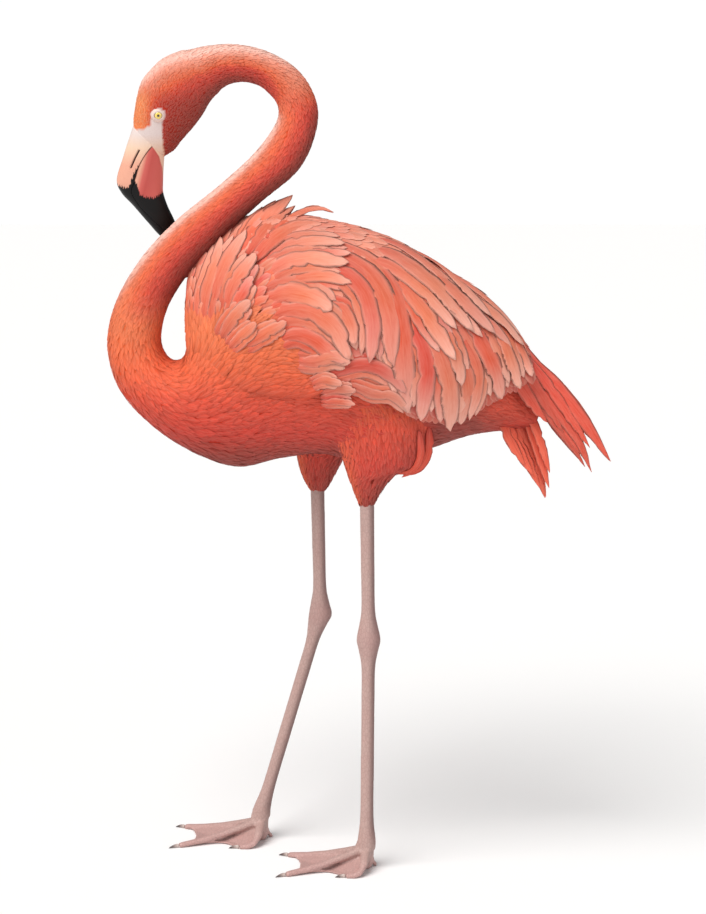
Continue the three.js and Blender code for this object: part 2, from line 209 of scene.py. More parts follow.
# %% Tables of sections
SPINE = [
    (-250, 1183, -199, 1123, 32, 3), (-212, 1191, -184, 1132, 29, 3),
    (-169, 1192, -165, 1135, 27, 2), (-126, 1181, -144, 1130, 26, 1),
    (-88, 1158, -130, 1119, 26, 0), (-65, 1127, -120, 1107, 27, -1),
    (-56, 1088, -118, 1089, 28, -2), (-80, 1019, -146, 1045, 30, -7),
    (-140, 966, -202, 993, 31, -12), (-201, 909, -262, 945, 32, -14),
    (-247, 860, -313, 892, 34, -11), (-276, 811, -353, 825, 38, -5),
    (-283, 766, -366, 762, 46, 0), (-269, 744, -347, 697, 62, 0),
    (-253, 749, -275, 627, 80, 0), (-229, 851, -179, 586, 94, 0),
    (-171, 901, -116, 598, 102, 0), (-92, 918, -57, 605, 106, 0),
    (-7, 901, -11, 597, 104, 0), (80, 851, 52, 602, 94, 0),
    (152, 789, 102, 613, 76, 0), (218, 735, 158, 632, 52, 0),
    (262, 672, 250, 643, 16, 0),
]  # fmt: skip
HEAD = [
    (-323.5, 1077, -278.5, 1033, 17, 0), (-321, 1095, -266, 1039, 20, 0),
    (-317, 1116, -250, 1058, 24, 0), (-310, 1139, -234, 1076, 28, 0),
    (-297, 1155, -221, 1094, 31, 0), (-279, 1171, -211, 1111, 33, 0),
    (-250, 1183, -199, 1123, 32, 0),
]  # fmt: skip
BILL = [
    (-278.5, 1033, -322.5, 1076, 16, 0), (-280, 1013, -337, 1034, 17.5, 0),
    (-281, 993, -347.5, 997, 18, 0), (-281, 982, -341, 981, 17, 0),
    (-275, 962, -325, 963, 14.5, 0), (-266, 942, -302.5, 936, 11, 0),
    (-261, 927.5, -286.5, 918, 8, 0), (-257.5, 914, -266.5, 905, 3, 0),
]  # fmt: skip
COAT = [
    (-252, 826, -243, 700, 60, 0), (-240, 874, -200, 640, 86, 0),
    (-198, 920, -150, 620, 107, 0), (-146, 954, -100, 615, 119, 0),
    (-92, 952, -50, 615, 125, 0), (-42, 943, 0, 612, 127, 0),
    (8, 931, 45, 615, 127, 0), (60, 911, 90, 620, 122, 0),
    (118, 876, 135, 632, 110, 0), (176, 840, 180, 645, 90, 0),
    (212, 800, 214, 660, 70, 0), (244, 760, 246, 672, 54, 0),
]  # fmt: skip
THIGHS = {
    "left": [
        (70, 724, -40, 724, 40, -50), (94, 690, -38, 690, 42, -50),
        (99, 654, -36, 654, 40, -50), (99, 624, -32, 624, 36, -50),
        (92, 601, -26, 601, 31, -50), (55, 583, -20, 583, 24, -50),
        (36, 561, -12, 561, 17, -50), (23, 537, -3.5, 537, 11, -50),
    ],
    "right": [
        (10, 724, -112, 724, 38, 50), (20, 690, -112, 690, 42, 50),
        (18, 654, -108, 654, 39, 50), (5, 626, -103, 626, 35, 50),
        (-14, 604, -96, 602, 30, 50), (-29, 578, -91, 578, 23, 50),
        (-38, 560, -84, 560, 17, 50), (-48, 544, -75, 544, 11, 50),
    ],
}  # fmt: skip
JOINTS = {  # knee, hock and ankle as x, y, z
    "left": [(10.6, -50, 536.4), (13, -50, 342), (10.5, -50, 41)],
    "right": [(-62, 50, 543.4), (-58.5, 58, 356), (-149, 80, 48)],
}
SHANK = [(0, 10.4, 8.4), (0.45, 10, 8), (0.8, 10.6, 8.6), (0.9, 14, 11)]
KNUCKLE = [(0, 17.5, 12.5)]
TARSUS = [(0.05, 14.5, 11.5), (0.12, 10.6, 9), (0.3, 9.8, 8), (0.6, 9.8, 7.8), (0.9, 10.4, 8.3), (1, 13.6, 10)]
HEAD_TURN, NAPE, NAPE_SHIFT = 0.2, np.array((-0.2245, 0, 1.153)), np.array((0, 0.003, 0))
HEAD_AXIS = Vector((60, 0, 51)).normalized()
TURN = np.array(Matrix.Rotation(HEAD_TURN, 3, HEAD_AXIS))


def turned(points):
    """Points of the head or bill, drawn looking straight ahead, turned at the nape."""
    return (points - NAPE) @ TURN.T + NAPE + NAPE_SHIFT


# %% A smooth surface from a table
def spline(knots, place):
    """Centripetal Catmull-Rom through the rows of knots, at fractional row numbers."""
    knots = np.vstack([2 * knots[0] - knots[1], knots, 2 * knots[-1] - knots[-2]])
    row = np.clip(np.floor(place).astype(int), 0, len(knots) - 4)
    t = (place - row)[..., None]
    a, b, c, d = (knots[row + i] for i in range(4))
    gaps = (np.linalg.norm(q - p, axis=-1, keepdims=True) for p, q in ((a, b), (b, c), (c, d)))
    ab, bc, cd = (np.maximum(gap**0.5, 1e-6) for gap in gaps)
    leave = ((b - a) / ab - (c - a) / (ab + bc) + (c - b) / bc) * bc
    arrive = ((c - b) / bc - (d - b) / (bc + cd) + (d - c) / cd) * bc
    cubic = 2 * (b - c) + leave + arrive
    return b + t * (leave + t * (3 * (c - b) - 2 * leave - arrive + t * cubic))


def unit(vectors):
    return vectors / np.maximum(np.linalg.norm(vectors, axis=-1, keepdims=True), 1e-9)


class Loft:
    """Surface of a table. along is the row number, around is 0 at the back, pi at the front."""

    def __init__(self, rows, after=lambda points: points):
        self.rows, self.after, self.last = np.array(rows, float) / 1000, after, len(rows) - 1

    def at(self, along, around, grow=0.0):
        along, around = np.broadcast_arrays(np.asarray(along, float), np.asarray(around, float))
        back, front = spline(self.rows[:, :2], along), spline(self.rows[:, 2:4], along)
        wide, across = np.moveaxis(spline(self.rows[:, 4:], along), -1, 0)
        middle, half = (back + front) / 2, (back - front) / 2
        half = half + unit(half) * np.asarray(grow)[..., None]
        side = middle + half * np.cos(around)[..., None]
        y = across - (wide + grow) * np.sin(around)
        return self.after(np.stack([side[..., 0], y, side[..., 1]], -1))

    def normal(self, along, around):
        step = 1e-3
        later, earlier = (np.clip(along + way, 0, self.last) for way in (step, -step))
        a = self.at(later, around) - self.at(earlier, around)
        b = self.at(along, around + step) - self.at(along, around - step)
        n = unit(np.cross(a, b))
        inside = self.at(along, around, -0.001)
        flip = np.sign(((self.at(along, around) - inside) * n).sum(-1, keepdims=True))
        return n * np.where(flip == 0, 1, flip)


neck_and_trunk = Loft(SPINE)
head_loft = Loft(HEAD, turned)
bill_loft = Loft(BILL, turned)
coat_loft = Loft(COAT)
thigh_lofts = {side: Loft(rows) for side, rows in THIGHS.items()}


# %% [markdown]
# One skin covers the whole bird: head, neck, trunk, the fleshy part of the wings, thighs, bare
# legs and webbed feet. Sculpting it from one block would be slow and hard to repeat, so closed
# tubes are laid on the tables, pushed together and melted into one surface with a voxel remesh,
# and then smoothed. It lies under the solids' surface by the depth of the coat, which is 4 mm
# on the body, 2 mm on the neck, 1 mm on the head and nothing on the bare legs.


# %% Tubes
def places_in(bm):
    return np.array([vertex.co for vertex in bm.verts])


def lay(bm, places):
    """Moves the points of a bmesh to places, and turns its faces outward."""
    for vertex, place in zip(bm.verts, places):
        vertex.co = place
    bmesh.ops.recalc_face_normals(bm, faces=bm.faces)


def tube(loft, start, end, rings, sides, grow=0.0):
    """A closed tube on part of a loft: a cylinder, cut into rings, laid on its surface."""
    bm = bmesh.new()
    bmesh.ops.create_cone(bm, cap_ends=True, segments=sides, radius1=1, radius2=1, depth=1)
    upright = [e for e in bm.edges if abs(e.verts[0].co.z - e.verts[1].co.z) > 0.5]
    bmesh.ops.subdivide_edges(bm, edges=upright, cuts=rings)
    x, y, z = places_in(bm).T
    lay(bm, loft.at(start + (end - start) * (0.5 - z), np.arctan2(y, x), grow))
    if bm.calc_volume(signed=True) < 0:
        bmesh.ops.reverse_faces(bm, faces=bm.faces)
    return bm


def copy_of(*nodes):
    """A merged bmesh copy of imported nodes, whose own meshes are loose triangles."""
    bm = bmesh.new()
    for node in nodes:
        bm.from_mesh(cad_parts[node].data)
    bmesh.ops.remove_doubles(bm, verts=bm.verts, dist=2e-5)
    return bm


def joined(parts):
    bm = bmesh.new()
    for part in parts:
        mesh = bpy.data.meshes.new("part")
        part.to_mesh(mesh)
        part.free()
        bm.from_mesh(mesh)
        bpy.data.meshes.remove(mesh)
    return bm


def melted(made, voxel, smooth):
    """Melts overlapping closed shells into one even surface."""
    remesh = made.modifiers.new("melt", "REMESH")
    remesh.mode, remesh.voxel_size, remesh.use_smooth_shade = "VOXEL", voxel, True
    soften = made.modifiers.new("soften", "SMOOTH")
    soften.factor, soften.iterations = 0.5, smooth
    evaluated = made.evaluated_get(bpy.context.evaluated_depsgraph_get())
    made.data = bpy.data.meshes.new_from_object(evaluated)
    made.modifiers.clear()
    return made


def read(layer, name, count):
    flat = np.empty(count * 3)
    layer.foreach_get(name, flat)
    return flat.reshape(-1, 3)


def surface_of(mesh):
    """Places of a mesh's points, and the way it faces at each."""
    count = len(mesh.vertices)
    return read(mesh.vertices, "co", count), read(mesh.vertex_normals, "vector", count)


# %% Lower edge of the wings
WING_EDGE = [
    (-260, 770), (-212, 738), (-150, 715), (-80, 708), (-8, 706), (22, 694),
    (64, 680), (92, 668), (125, 662), (150, 672), (200, 700), (250, 720),
]  # fmt: skip
FLESH_EDGE = [(-150, 600), (-110, 655), (-70, 702), (-30, 718), (22, 706), (92, 690), (125, 686), (250, 740)]


def height_of(edge, x):
    """Height in metres of an edge given in millimetres, at places x along the bird."""
    places, heights = np.array(edge).T / 1000
    return np.interp(x, places, heights)


# %% Body skin
BODY_VOXEL, LEG_VOXEL, BILL_VOXEL = 0.0041, 0.0019, 0.0010
wing_flesh = tube(coat_loft, 0.15, 10.9, 60, 64, -0.006)
for vertex in wing_flesh.verts:
    vertex.co.z = max(vertex.co.z, height_of(FLESH_EDGE, vertex.co.x))
body_parts = [
    tube(neck_and_trunk, 0, 22, 260, 56, -0.003),
    tube(head_loft, 0.02, 6, 50, 48, -0.001),
    tube(bill_loft, 0.0, 0.25, 6, 32, -0.0015),
    wing_flesh,
    *(tube(loft, 0, 7, 40, 32, -0.003) for loft in thigh_lofts.values()),
]
body_skin = melted(object_from(joined(body_parts), "flesh"), BODY_VOXEL, 4)


# %% Leg skin
def leg_tube(knee, hock, ankle):
    """Bare leg from inside the thigh to the ankle, with the knuckle at the hock."""
    knee, hock, ankle = (np.array(p, float) for p in (knee, hock, ankle))
    rows = []
    for (top, bottom), part in (((knee, hock), SHANK), ((hock, ankle), KNUCKLE + TARSUS)):
        for share, depth, width in part:
            x, y, z = top + (bottom - top) * share
            rows.append((x + depth, z, x - depth, z, width, y))
    first = (knee[0] + 10, knee[2] + 30, knee[0] - 10, knee[2] + 30, 8.4, knee[1])
    last = (ankle[0] + 13, ankle[2] - 12, ankle[0] - 14, ankle[2] - 12, 10, ankle[1])
    loft = Loft([first, *rows, last])
    return tube(loft, 0, loft.last, 120, 24)


leg_parts = [leg_tube(*JOINTS[side]) for side in JOINTS]
legs = object_from(joined([*leg_parts, copy_of("foot_left", "foot_right")]), "legs")
legs = melted(legs, LEG_VOXEL, 5)
print("skin faces", len(body_skin.data.polygons), "legs", len(legs.data.polygons))

# %% [markdown]
# A flamingo's red comes from what it eats, and is uneven: orange on the face and breast, deep red
# lower on the body. Over this lie painted light and shade: pale pink highlights on the crown and
# the tops of the neck and wings, where they face the key light or up, and deep red painted shade
# on the sides that face away. The skin and every feather take their colour from the same few
# functions of place and of the way the surface faces, so that a gap in the coat never shows as
# another colour.


# %% Colours
def linear(*screen):
    """A colour in screen values from 0 to 255, as linear light."""
    c = np.array(screen) / 255
    return np.where(c <= 0.04045, c / 12.92, ((c + 0.055) / 1.055) ** 2.4)


PALE = linear(250, 206, 192)
PINK = linear(236, 154, 130)
SALMON = linear(221, 120, 88)
APRICOT = linear(229, 118, 67)
ORANGE = linear(227, 95, 47)
CORAL = linear(218, 68, 39)
RED = linear(202, 48, 32)
BRICK = linear(152, 32, 20)
GARNET = linear(124, 24, 15)
DUSKY = linear(130, 36, 29)
FLAME = linear(222, 70, 46)
FACE_ORANGE = linear(244, 158, 98)
QUILL = linear(246, 98, 66)


def ramp(value, *stops):
    """Colour at each value, between the stops given as place and colour."""
    places, colours = [s[0] for s in stops], np.array([s[1] for s in stops])
    return np.stack([np.interp(value, places, colours[:, i]) for i in range(3)], -1)


def rise(value, low, high):
    """0 below low, 1 above high, smooth between."""
    t = np.clip((value - low) / (high - low), 0, 1)
    return t * t * (3 - 2 * t)


def blend(a, b, amount):
    return a + (b - a) * amount[..., None]


# The first three ramps are painted light and shade: they go by how far the surface faces the key
# light or up. The others go by height.
NECK = [(-0.9, GARNET), (-0.6, BRICK), (-0.25, RED), (0.05, CORAL), (0.38, ORANGE), (0.62, SALMON), (0.85, PALE)]
ARCH = [(-0.8, BRICK), (-0.37, RED), (-0.18, CORAL), (-0.05, ORANGE), (0.14, SALMON), (0.37, PINK), (0.65, PALE)]
LOW_NECK = [(-0.9, BRICK), (-0.5, RED), (-0.1, CORAL), (0.25, ORANGE), (0.6, APRICOT), (0.9, SALMON)]
BODY = [(590, GARNET), (612, BRICK), (645, RED), (690, CORAL), (738, ORANGE), (796, APRICOT), (860, SALMON)]
THIGH = [(540, BRICK), (600, RED), (655, CORAL), (705, ORANGE)]
WING = [(0, RED), (0.2, CORAL), (0.4, ORANGE), (0.55, SALMON), (0.75, SALMON), (0.88, APRICOT), (1, PINK)]
# Ways towards the key light, up, and forward and up, along which light and shade are painted.
TOWARD_KEY_LIGHT, UPWARD, FORWARD = np.array([(-0.6, 0, 0.8), (-0.35, 0, 0.94), (-0.8, 0, 0.6)])


def body_colour(points, normals):
    """Colour of head, neck, breast, belly and rump, with painted light and shade by the way each faces."""
    x, _, z = np.moveaxis(points * 1000, -1, 0)
    # Painted light and shade: how far each place faces the key light.
    facing_light = normals @ TOWARD_KEY_LIGHT
    neck = blend(ramp(facing_light, *NECK), ramp(normals @ UPWARD, *ARCH), rise(z, 1085, 1135))
    neck = blend(ramp(facing_light, *LOW_NECK), neck, rise(z, 800, 900))
    face = rise(-x, 285, 312) * (1 - rise(z, 1108, 1136)) * rise(z, 1030, 1050)
    neck = blend(neck, FACE_ORANGE, face * 0.85)
    # Painted shade: garnet on the neck's side that faces away from the key light.
    neck = blend(neck, GARNET, rise(-facing_light, 0.55, 0.95) * rise(z, 900, 1000) * 0.7)
    cheek = rise(-x, 212, 245) * (1 - rise(-x, 270, 300)) * (1 - rise(z, 1100, 1130)) * rise(z, 1000, 1030)
    neck = blend(neck, BRICK, cheek * 0.62)
    # Painted light: the breast is more orange where it faces the key light.
    body = blend(ramp(z, *BODY), ORANGE, rise(facing_light, 0.2, 0.9) * 0.5)
    rump = rise(x, 60, 120) * (1 - rise(z, 705, 760)) * (1 - 0.7 * rise(x, 160, 235))
    body = blend(body, DUSKY, rump * 0.9)
    # Coral behind, below the wing: partly the bird's own colour, partly painted light in a hollow that lies in
    # shade.
    body = blend(body, CORAL, rise(x, 140, 200) * rise(z, 640, 690) * 0.8)
    on_back = rise(x, -200, -160) * (1 - rise(z, 880, 930))
    return blend(neck, body, np.maximum(1 - rise(z, 775, 850), on_back))


def thigh_colour(points, normals):
    z, forward = points[..., 2] * 1000, -normals[..., 0]
    # Painted light: more orange where the thigh faces forward and up, towards the key light.
    tone = blend(ramp(z, *THIGH), ORANGE, rise(normals @ FORWARD, -0.1, 0.9) * 0.45)
    cuff = 1 - rise(z, 610, 670)
    # Painted light and shade at the cuff: orange where it faces forward, garnet where it faces back.
    tone = blend(tone, ORANGE, cuff * rise(forward, 0.25, 0.9) * 0.6)
    return blend(tone, GARNET, cuff * rise(-forward, -0.1, 0.7) * 0.6)


def wing_colour(points, normals, tone):
    """Colour of the wing and mantle feathers; tone is a number from 0 to 1 for each feather."""
    x, _, z = np.moveaxis(points * 1000, -1, 0)
    up = normals[..., 2]
    shoulder = (1 - rise(x, -150, -60)) * (1 - rise(z, 800, 860))
    mixed = blend(ramp(tone, *WING), 0.5 * (ORANGE + APRICOT), shoulder * 0.85)
    belt = rise(x, -60, 40) * rise(z, 790, 850) * (1 - rise(up, 0.75, 0.95))
    mixed = blend(mixed, 0.82 * APRICOT, belt * 0.45)
    low = (1 - rise(z, 680, 760)) * (1 - rise(x, 40, 90))
    mixed = blend(mixed, RED, low * 0.35)
    # Painted highlights: pinker where the feathers face up and where they face the key light.
    mixed = blend(mixed, PINK, rise(up, 0.35, 0.85) * 0.65)
    return blend(mixed, PINK, rise(normals @ TOWARD_KEY_LIGHT, 0.75, 1.0) * 0.4)


# %% [markdown]
# The bare face is whitish skin from the eye down to the bill. Its border with the feathers is a
# line in side view, drawn on the head before it is turned, so a place on the turned head is first
# turned back and then tested against that outline.

# %% Bare face
FACE = [
    (-345, 1074), (-320, 1073), (-306, 1074), (-299.5, 1079), (-297, 1089), (-297, 1096), (-292.5, 1101.5),
    (-287, 1103), (-281.5, 1101.5), (-278, 1098), (-276.5, 1093), (-278, 1088), (-281, 1084), (-283, 1079),
    (-282, 1058), (-279, 1036), (-279, 1000), (-345, 1000),
]  # fmt: skip
EYE_RADIUS, EYE_PLACE = 0.0085, (-0.287, 0.0185, 1.093)


def straight(points):
    """Undoes turned()."""
    return (points - NAPE - NAPE_SHIFT) @ TURN + NAPE


def inside(outline, x, z):
    """Whether places in side view lie inside an outline."""
    crossings = np.zeros(np.shape(x), bool)
    corners = np.array(outline) / 1000
    for (ax, az), (bx, bz) in zip(corners, np.roll(corners, -1, axis=0)):
        span = (az > z) != (bz > z)
        crossings ^= span & (x < (bx - ax) * (z - az) / (bz - az + 1e-12) + ax)
    return crossings


def bare_face(points):
    looking = straight(points)
    near = (looking[..., 2] > 1.0) & (looking[..., 0] < -0.27)
    return near & inside(FACE, looking[..., 0], looking[..., 2])


def paint(mesh, name, colours):
    """Stores one colour for each vertex."""
    layer = mesh.attributes.new(name, "FLOAT_COLOR", "POINT")
    layer.data.foreach_set("color", np.column_stack([colours, np.ones(len(colours))]).ravel())


# %% [markdown]
# The eye is a ball set as deep as in life, with a yellow iris and a small pupil; the lids are a
# spun ring that rests on it. Spinning a profile is how any ring is best made: the section is
# drawn once and swept round the axis. The ring then joins the skin.

# %% Eyelids
LID = [  # radius and height of the ring's section, in millimetres
    (5.5, 6.0), (5.6, 6.75), (6.2, 7.25), (7.2, 7.1), (8.2, 6.3),
    (9.1, 5.1), (10.0, 3.6), (10.9, 1.6), (10.2, 0.4), (7.5, 2.0),
]  # fmt: skip


def at_eye(local, side):
    """Places drawn round the eye's centre, with y outward, set into the turned head."""
    return turned((np.array(local) + EYE_PLACE) * (1, side, 1))


def eyelid(side):
    bm = bmesh.new()
    profile = [bm.verts.new((r / 1000, 0, h / 1000)) for r, h in LID]
    edges = [bm.edges.new((a, b)) for a, b in zip(profile, profile[1:] + profile[:1])]
    bmesh.ops.spin(bm, geom=profile + edges, axis=(0, 0, 1), angle=2 * np.pi, steps=48, use_merge=True)
    bmesh.ops.remove_doubles(bm, verts=bm.verts, dist=1e-6)
    x, y, z = places_in(bm).T
    radius = np.hypot(x, y)
    squeeze = 0.80 + 0.20 * rise(radius, 0.0056, 0.009)
    crease = 0.00022 * np.sin(radius * 5200) * rise(radius, 0.006, 0.0075)
    lay(bm, at_eye(np.column_stack([x, z + crease, y * squeeze]), side))
    return bm


# %% Colour at the base of the bill
HORN_WHITE, HORN_CREAM = linear(226, 212, 208), linear(236, 204, 178)
HORN_PEACH, HORN_PINK, HORN_RED = linear(232, 172, 148), linear(214, 106, 98), linear(198, 88, 82)
# The black of the bill's tip, and painted shade for the nostril and the mouth line.
HORN_BLACK, NOSTRIL_SHADE, GAPE_SHADE = linear(6, 5, 6), linear(60, 30, 28), linear(84, 42, 36)


def base_of_bill(z):
    """Horn colour from the bend of the bill up into the bare face, at heights in millimetres."""
    stops = (1022, HORN_PEACH), (1046, HORN_CREAM), (1066, HORN_WHITE)
    return ramp(z, *stops)


# %% [markdown]
# Body, legs and lids become one object. The legs carry their own finish: bare skin of small
# scales, darker behind with painted shade, paler on the webs.

# %% One skin
LEG_PALE, LEG_SHADE, SOLE = linear(194, 164, 156), linear(112, 86, 82), linear(196, 158, 152)
KNUCKLE_PINK, LID_PALE, LID_MARGIN = linear(178, 138, 134), linear(234, 214, 204), linear(70, 36, 30)
# Painted shade for the skin that shows in the gaps of the coat.
GAP_SHADE = (0.94, 0.72, 0.66)
lids = [object_from(eyelid(side), f"lid_{side}") for side in (-1, 1)]
for piece, index in ((body_skin, 0), (legs, 1), (lids[0], 2), (lids[1], 2)):
    points, normals = surface_of(piece.data)
    if index == 0:
        # Painted shade: the skin is darker and redder than the feathers over it.
        colours = body_colour(points, normals) * GAP_SHADE
        looking = straight(points) * 1000
        colours = np.where(bare_face(points)[:, None], base_of_bill(looking[:, 2]), colours)
    elif index == 1:
        # Painted shade: the backs of the legs are darker.
        rear = rise(normals[:, 0], -0.1, 0.8) * rise(points[:, 2], 0.02, 0.06)
        colours = blend(np.broadcast_to(LEG_PALE, points.shape), LEG_SHADE, 0.10 + 0.8 * rear)
        hocks = [np.array(hock) / 1000 for _, hock, _ in JOINTS.values()]
        knuckle = sum(np.exp(-((points - hock) ** 2).sum(-1) / 0.025**2) for hock in hocks)
        colours = blend(colours, KNUCKLE_PINK, np.clip(knuckle, 0, 1) * 0.5)
        colours = blend(colours, SOLE, 1 - rise(points[:, 2], 0.006, 0.03))
    else:
        centre = at_eye((0, 0, 0), -1 if piece is lids[0] else 1)
        margin = 1 - rise(np.linalg.norm(points - centre, axis=1), 0.0085, 0.0091)
        colours = blend(np.broadcast_to(LID_PALE, points.shape), LID_MARGIN, margin)
    paint(piece.data, "plumage", colours)
    piece.data.materials.clear()
    for _ in range(3):
        piece.data.materials.append(None)
    slots = np.full(len(piece.data.polygons), index)
    if index == 0:
        slots[bare_face(np.array([face.center for face in piece.data.polygons]))] = 2
    piece.data.polygons.foreach_set("material_index", slots)
bm = bmesh.new()
for piece in (body_skin, legs, *lids):
    bm.from_mesh(piece.data)
skin = object_from(bm, "skin")
print("skin triangles", sum(len(p.vertices) - 2 for p in skin.data.polygons))
mesh = body_skin.data
body_tree = BVHTree.FromPolygons([v.co for v in mesh.vertices], [p.vertices for p in mesh.polygons])
for piece in (body_skin, legs, *lids):
    bpy.data.objects.remove(piece)

# %% Skin finishes
plumed = Finish("feathered_skin", roughness=0.8, specular_ior_level=0.2)
grain = plumed.noise(900, 3)
base = plumed.attribute("plumage")
plumed.plug({"base_color": plumed.mix(grain * 0.25, base, (0.5, 0.1, 0.05, 1))})
plumed.bump(grain, 0.0006, 0.6)

scaly = Finish("leg_skin", roughness=0.5, sheen_weight=0.05)
base = scaly.attribute("plumage")
scutes = scaly.place((260, 260, 150))
cells = scaly.node("ShaderNodeTexVoronoi", {"feature": "DISTANCE_TO_EDGE"}, {"Vector": scutes, "Scale": 1.0})
crack = scaly.step(cells, 0.0, 0.14)
tinted = scaly.mix(scaly.noise(60, 4), base, scaly.mix(0.35, base, (0.42, 0.2, 0.18, 1)))
between = scaly.mix(0.22, tinted, (0.22, 0.12, 0.11, 1))
scaly.plug({"base_color": scaly.mix(crack, between, tinted), "roughness": 0.62 - crack * 0.16})
scaly.bump(crack * 0.7 + scaly.noise(700, 3) * 0.3, 0.0005, 0.8)

lid_skin = Finish("eyelid", roughness=0.5)
base = lid_skin.attribute("plumage")
wrinkle = lid_skin.noise(700, 4)
lid_skin.plug({"base_color": lid_skin.mix(wrinkle * 0.5, base, (0.55, 0.36, 0.33, 1))})
lid_skin.bump(wrinkle, 0.0004, 0.7)
for finish in (plumed, scaly, lid_skin):
    skin.data.materials.append(finish.material)
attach(skin, "root")
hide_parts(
    "head", *(f"neck_{i}" for i in range(1, 6)), "trunk", "mantle", "wing_left", "wing_right",
    *(f"{part}_{side}" for side in ("left", "right") for part in ("thigh", "shank", "hock", "tarsus", "foot")),
)  # fmt: skip

# %% [markdown]
# The eyeball: a plain sphere, as the real one is, finished by rings of colour around its axis.
# The axis is stored in the mesh as a direction, so both eyes share one finish.


# %% Eyes
def eyeball(side, name):
    bm = bmesh.new()
    bmesh.ops.create_uvsphere(bm, u_segments=48, v_segments=32, radius=EYE_RADIUS)
    local = places_in(bm)
    lay(bm, at_eye(local[:, [0, 2, 1]], side))
    ball = object_from(bm, name)
    gaze = ball.data.attributes.new("gaze", "FLOAT_VECTOR", "POINT")
    gaze.data.foreach_set("vector", (local / EYE_RADIUS).ravel())
    return ball


eye_finish = Finish("eye", roughness=0.08, coat_weight=1.0, coat_roughness=0.02)
gaze = eye_finish.attribute("gaze", "Vector")
flat = eye_finish.node("ShaderNodeVectorMath", {"operation": "MULTIPLY"}, {0: gaze, 1: (1, 1, 0)})
off_axis = eye_finish.node("ShaderNodeVectorMath", {"operation": "LENGTH"}, {0: flat}, output="Value")
rays = eye_finish.node("ShaderNodeTexNoise", {}, {"Vector": gaze, "Scale": 14.0, "Detail": 4.0})
PUPIL_AND_IRIS = [
    (0.0, (0.002, 0.002, 0.002)), (0.17, (0.002, 0.002, 0.002)), (0.19, (0.35, 0.17, 0.02)),
    (0.26, (0.85, 0.62, 0.10)), (0.50, (0.92, 0.72, 0.20)), (0.60, (0.55, 0.30, 0.06)),
    (0.66, (0.05, 0.03, 0.02)),
]  # fmt: skip
where = {"Fac": off_axis + (rays - 0.5) * 0.05}
eye_finish.plug({"base_color": eye_finish.node("ShaderNodeValToRGB", {"stops": PUPIL_AND_IRIS}, where)})
for side, name in ((-1, "eye_left"), (1, "eye_right")):
    ball = eyeball(side, name + "_ball")
    ball.data.materials.append(eye_finish.material)
    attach(ball, "root")
    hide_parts(name)

# %% [markdown]
# The bill is bent horn. Both halves come from one tube on the bill's table: a cutter shaped like
# the space below the mouth line is taken from it for the upper half and kept for the lower half,
# with a hair's gap between. A remesh evens the faces, and the nostril and the fold at the gape
# are pressed in by moving the points near them.

# %% Bill
MOUTH = [
    (-262, 1072), (-296, 1049), (-314, 1024), (-322, 1000), (-327, 985),
    (-317, 966), (-301, 947), (-281, 928), (-250, 896),
]  # fmt: skip
GAPE = spline(np.array(MOUTH, float), np.linspace(0, len(MOUTH) - 1.001, 40))
NOSTRIL = [(-315, 1043), (-321, 1032), (-327, 1019)]
FOLD = [(-295, 1048), (-286, 1034), (-282, 1018), (-281, 1000)]
CLOSED = 0.0001  # each half reaches this far past the mouth line


def jaw_cutter(shift):
    """A thick plate under the mouth line, as a cutter."""
    outline = [(x / 1000 + shift, z / 1000) for x, z in GAPE] + [(-0.16, 0.896), (-0.16, 1.072)]
    bm = bmesh.new()
    face = bm.faces.new([bm.verts.new((x, -0.06, z)) for x, z in outline])
    grown = bmesh.ops.extrude_face_region(bm, geom=[face])["geom"]
    far_side = [part for part in grown if isinstance(part, bmesh.types.BMVert)]
    bmesh.ops.translate(bm, verts=far_side, vec=(0, 0.12, 0))
    lay(bm, turned(places_in(bm)))
    return object_from(bm, "cutter", smooth=False)


def near_line(line, x, z):
    """Distance in side view from places to a line of points, in millimetres."""
    ends = np.array(line, float)
    nearest = np.full(np.shape(x), 9000.0)
    for (ax, az), (bx, bz) in zip(ends, ends[1:]):
        length = np.hypot(bx - ax, bz - az)
        t = np.clip(((x - ax) * (bx - ax) + (z - az) * (bz - az)) / length**2, 0, 1)
        nearest = np.minimum(nearest, np.hypot(x - ax - t * (bx - ax), z - az - t * (bz - az)))
    return nearest


def jaw(name, operation, shift):
    """One half of the bill, with its places in side view and how deep each is pressed in."""
    made = object_from(tube(bill_loft, 0.0, 7, 110, 64, -0.0002), name)
    cutter = jaw_cutter(shift)
    cut = made.modifiers.new("cut", "BOOLEAN")
    cut.operation, cut.object, cut.solver = operation, cutter, "EXACT"
    made = melted(made, BILL_VOXEL, 3)
    bpy.data.objects.remove(cutter)
    points, normals = surface_of(made.data)
    x, y, z = straight(points).T * 1000
    sides = rise(np.abs(normals[:, 1]), 0.3, 0.7)
    press = 0.0022 * (1 - rise(near_line(NOSTRIL, x, z), 0.6, 2.0)) * sides
    press += 0.0008 * (1 - rise(near_line(FOLD, x, z), 0.4, 2.2)) * sides
    made.data.vertices.foreach_set("co", (points - normals * press[:, None]).ravel())
    return made, x, z, press


def tipped(colours, x, z, line, waves, fade):
    """Blackens the horn below a ragged line, and paints shade along the mouth line above that."""
    edge = np.interp(x, *np.transpose(line)) + sum(a * np.sin(x * b + c) for a, b, c in waves)
    colours = blend(colours, HORN_BLACK, 1 - rise(z - edge, -0.5, 0.5))
    # Painted shade along the mouth line, where the jaws meet.
    gape = (1 - rise(near_line(GAPE, x, z), 0.3, 1.2)) * rise(z, *fade)
    return blend(colours, GAPE_SHADE, 0.85 * gape)


upper, x, z, press = jaw("bill_upper_horn", "DIFFERENCE", CLOSED)
colours = base_of_bill(z)
colours = blend(colours, HORN_PEACH, rise(x, -300, -285) * (1 - rise(z, 1040, 1062)) * 0.6)
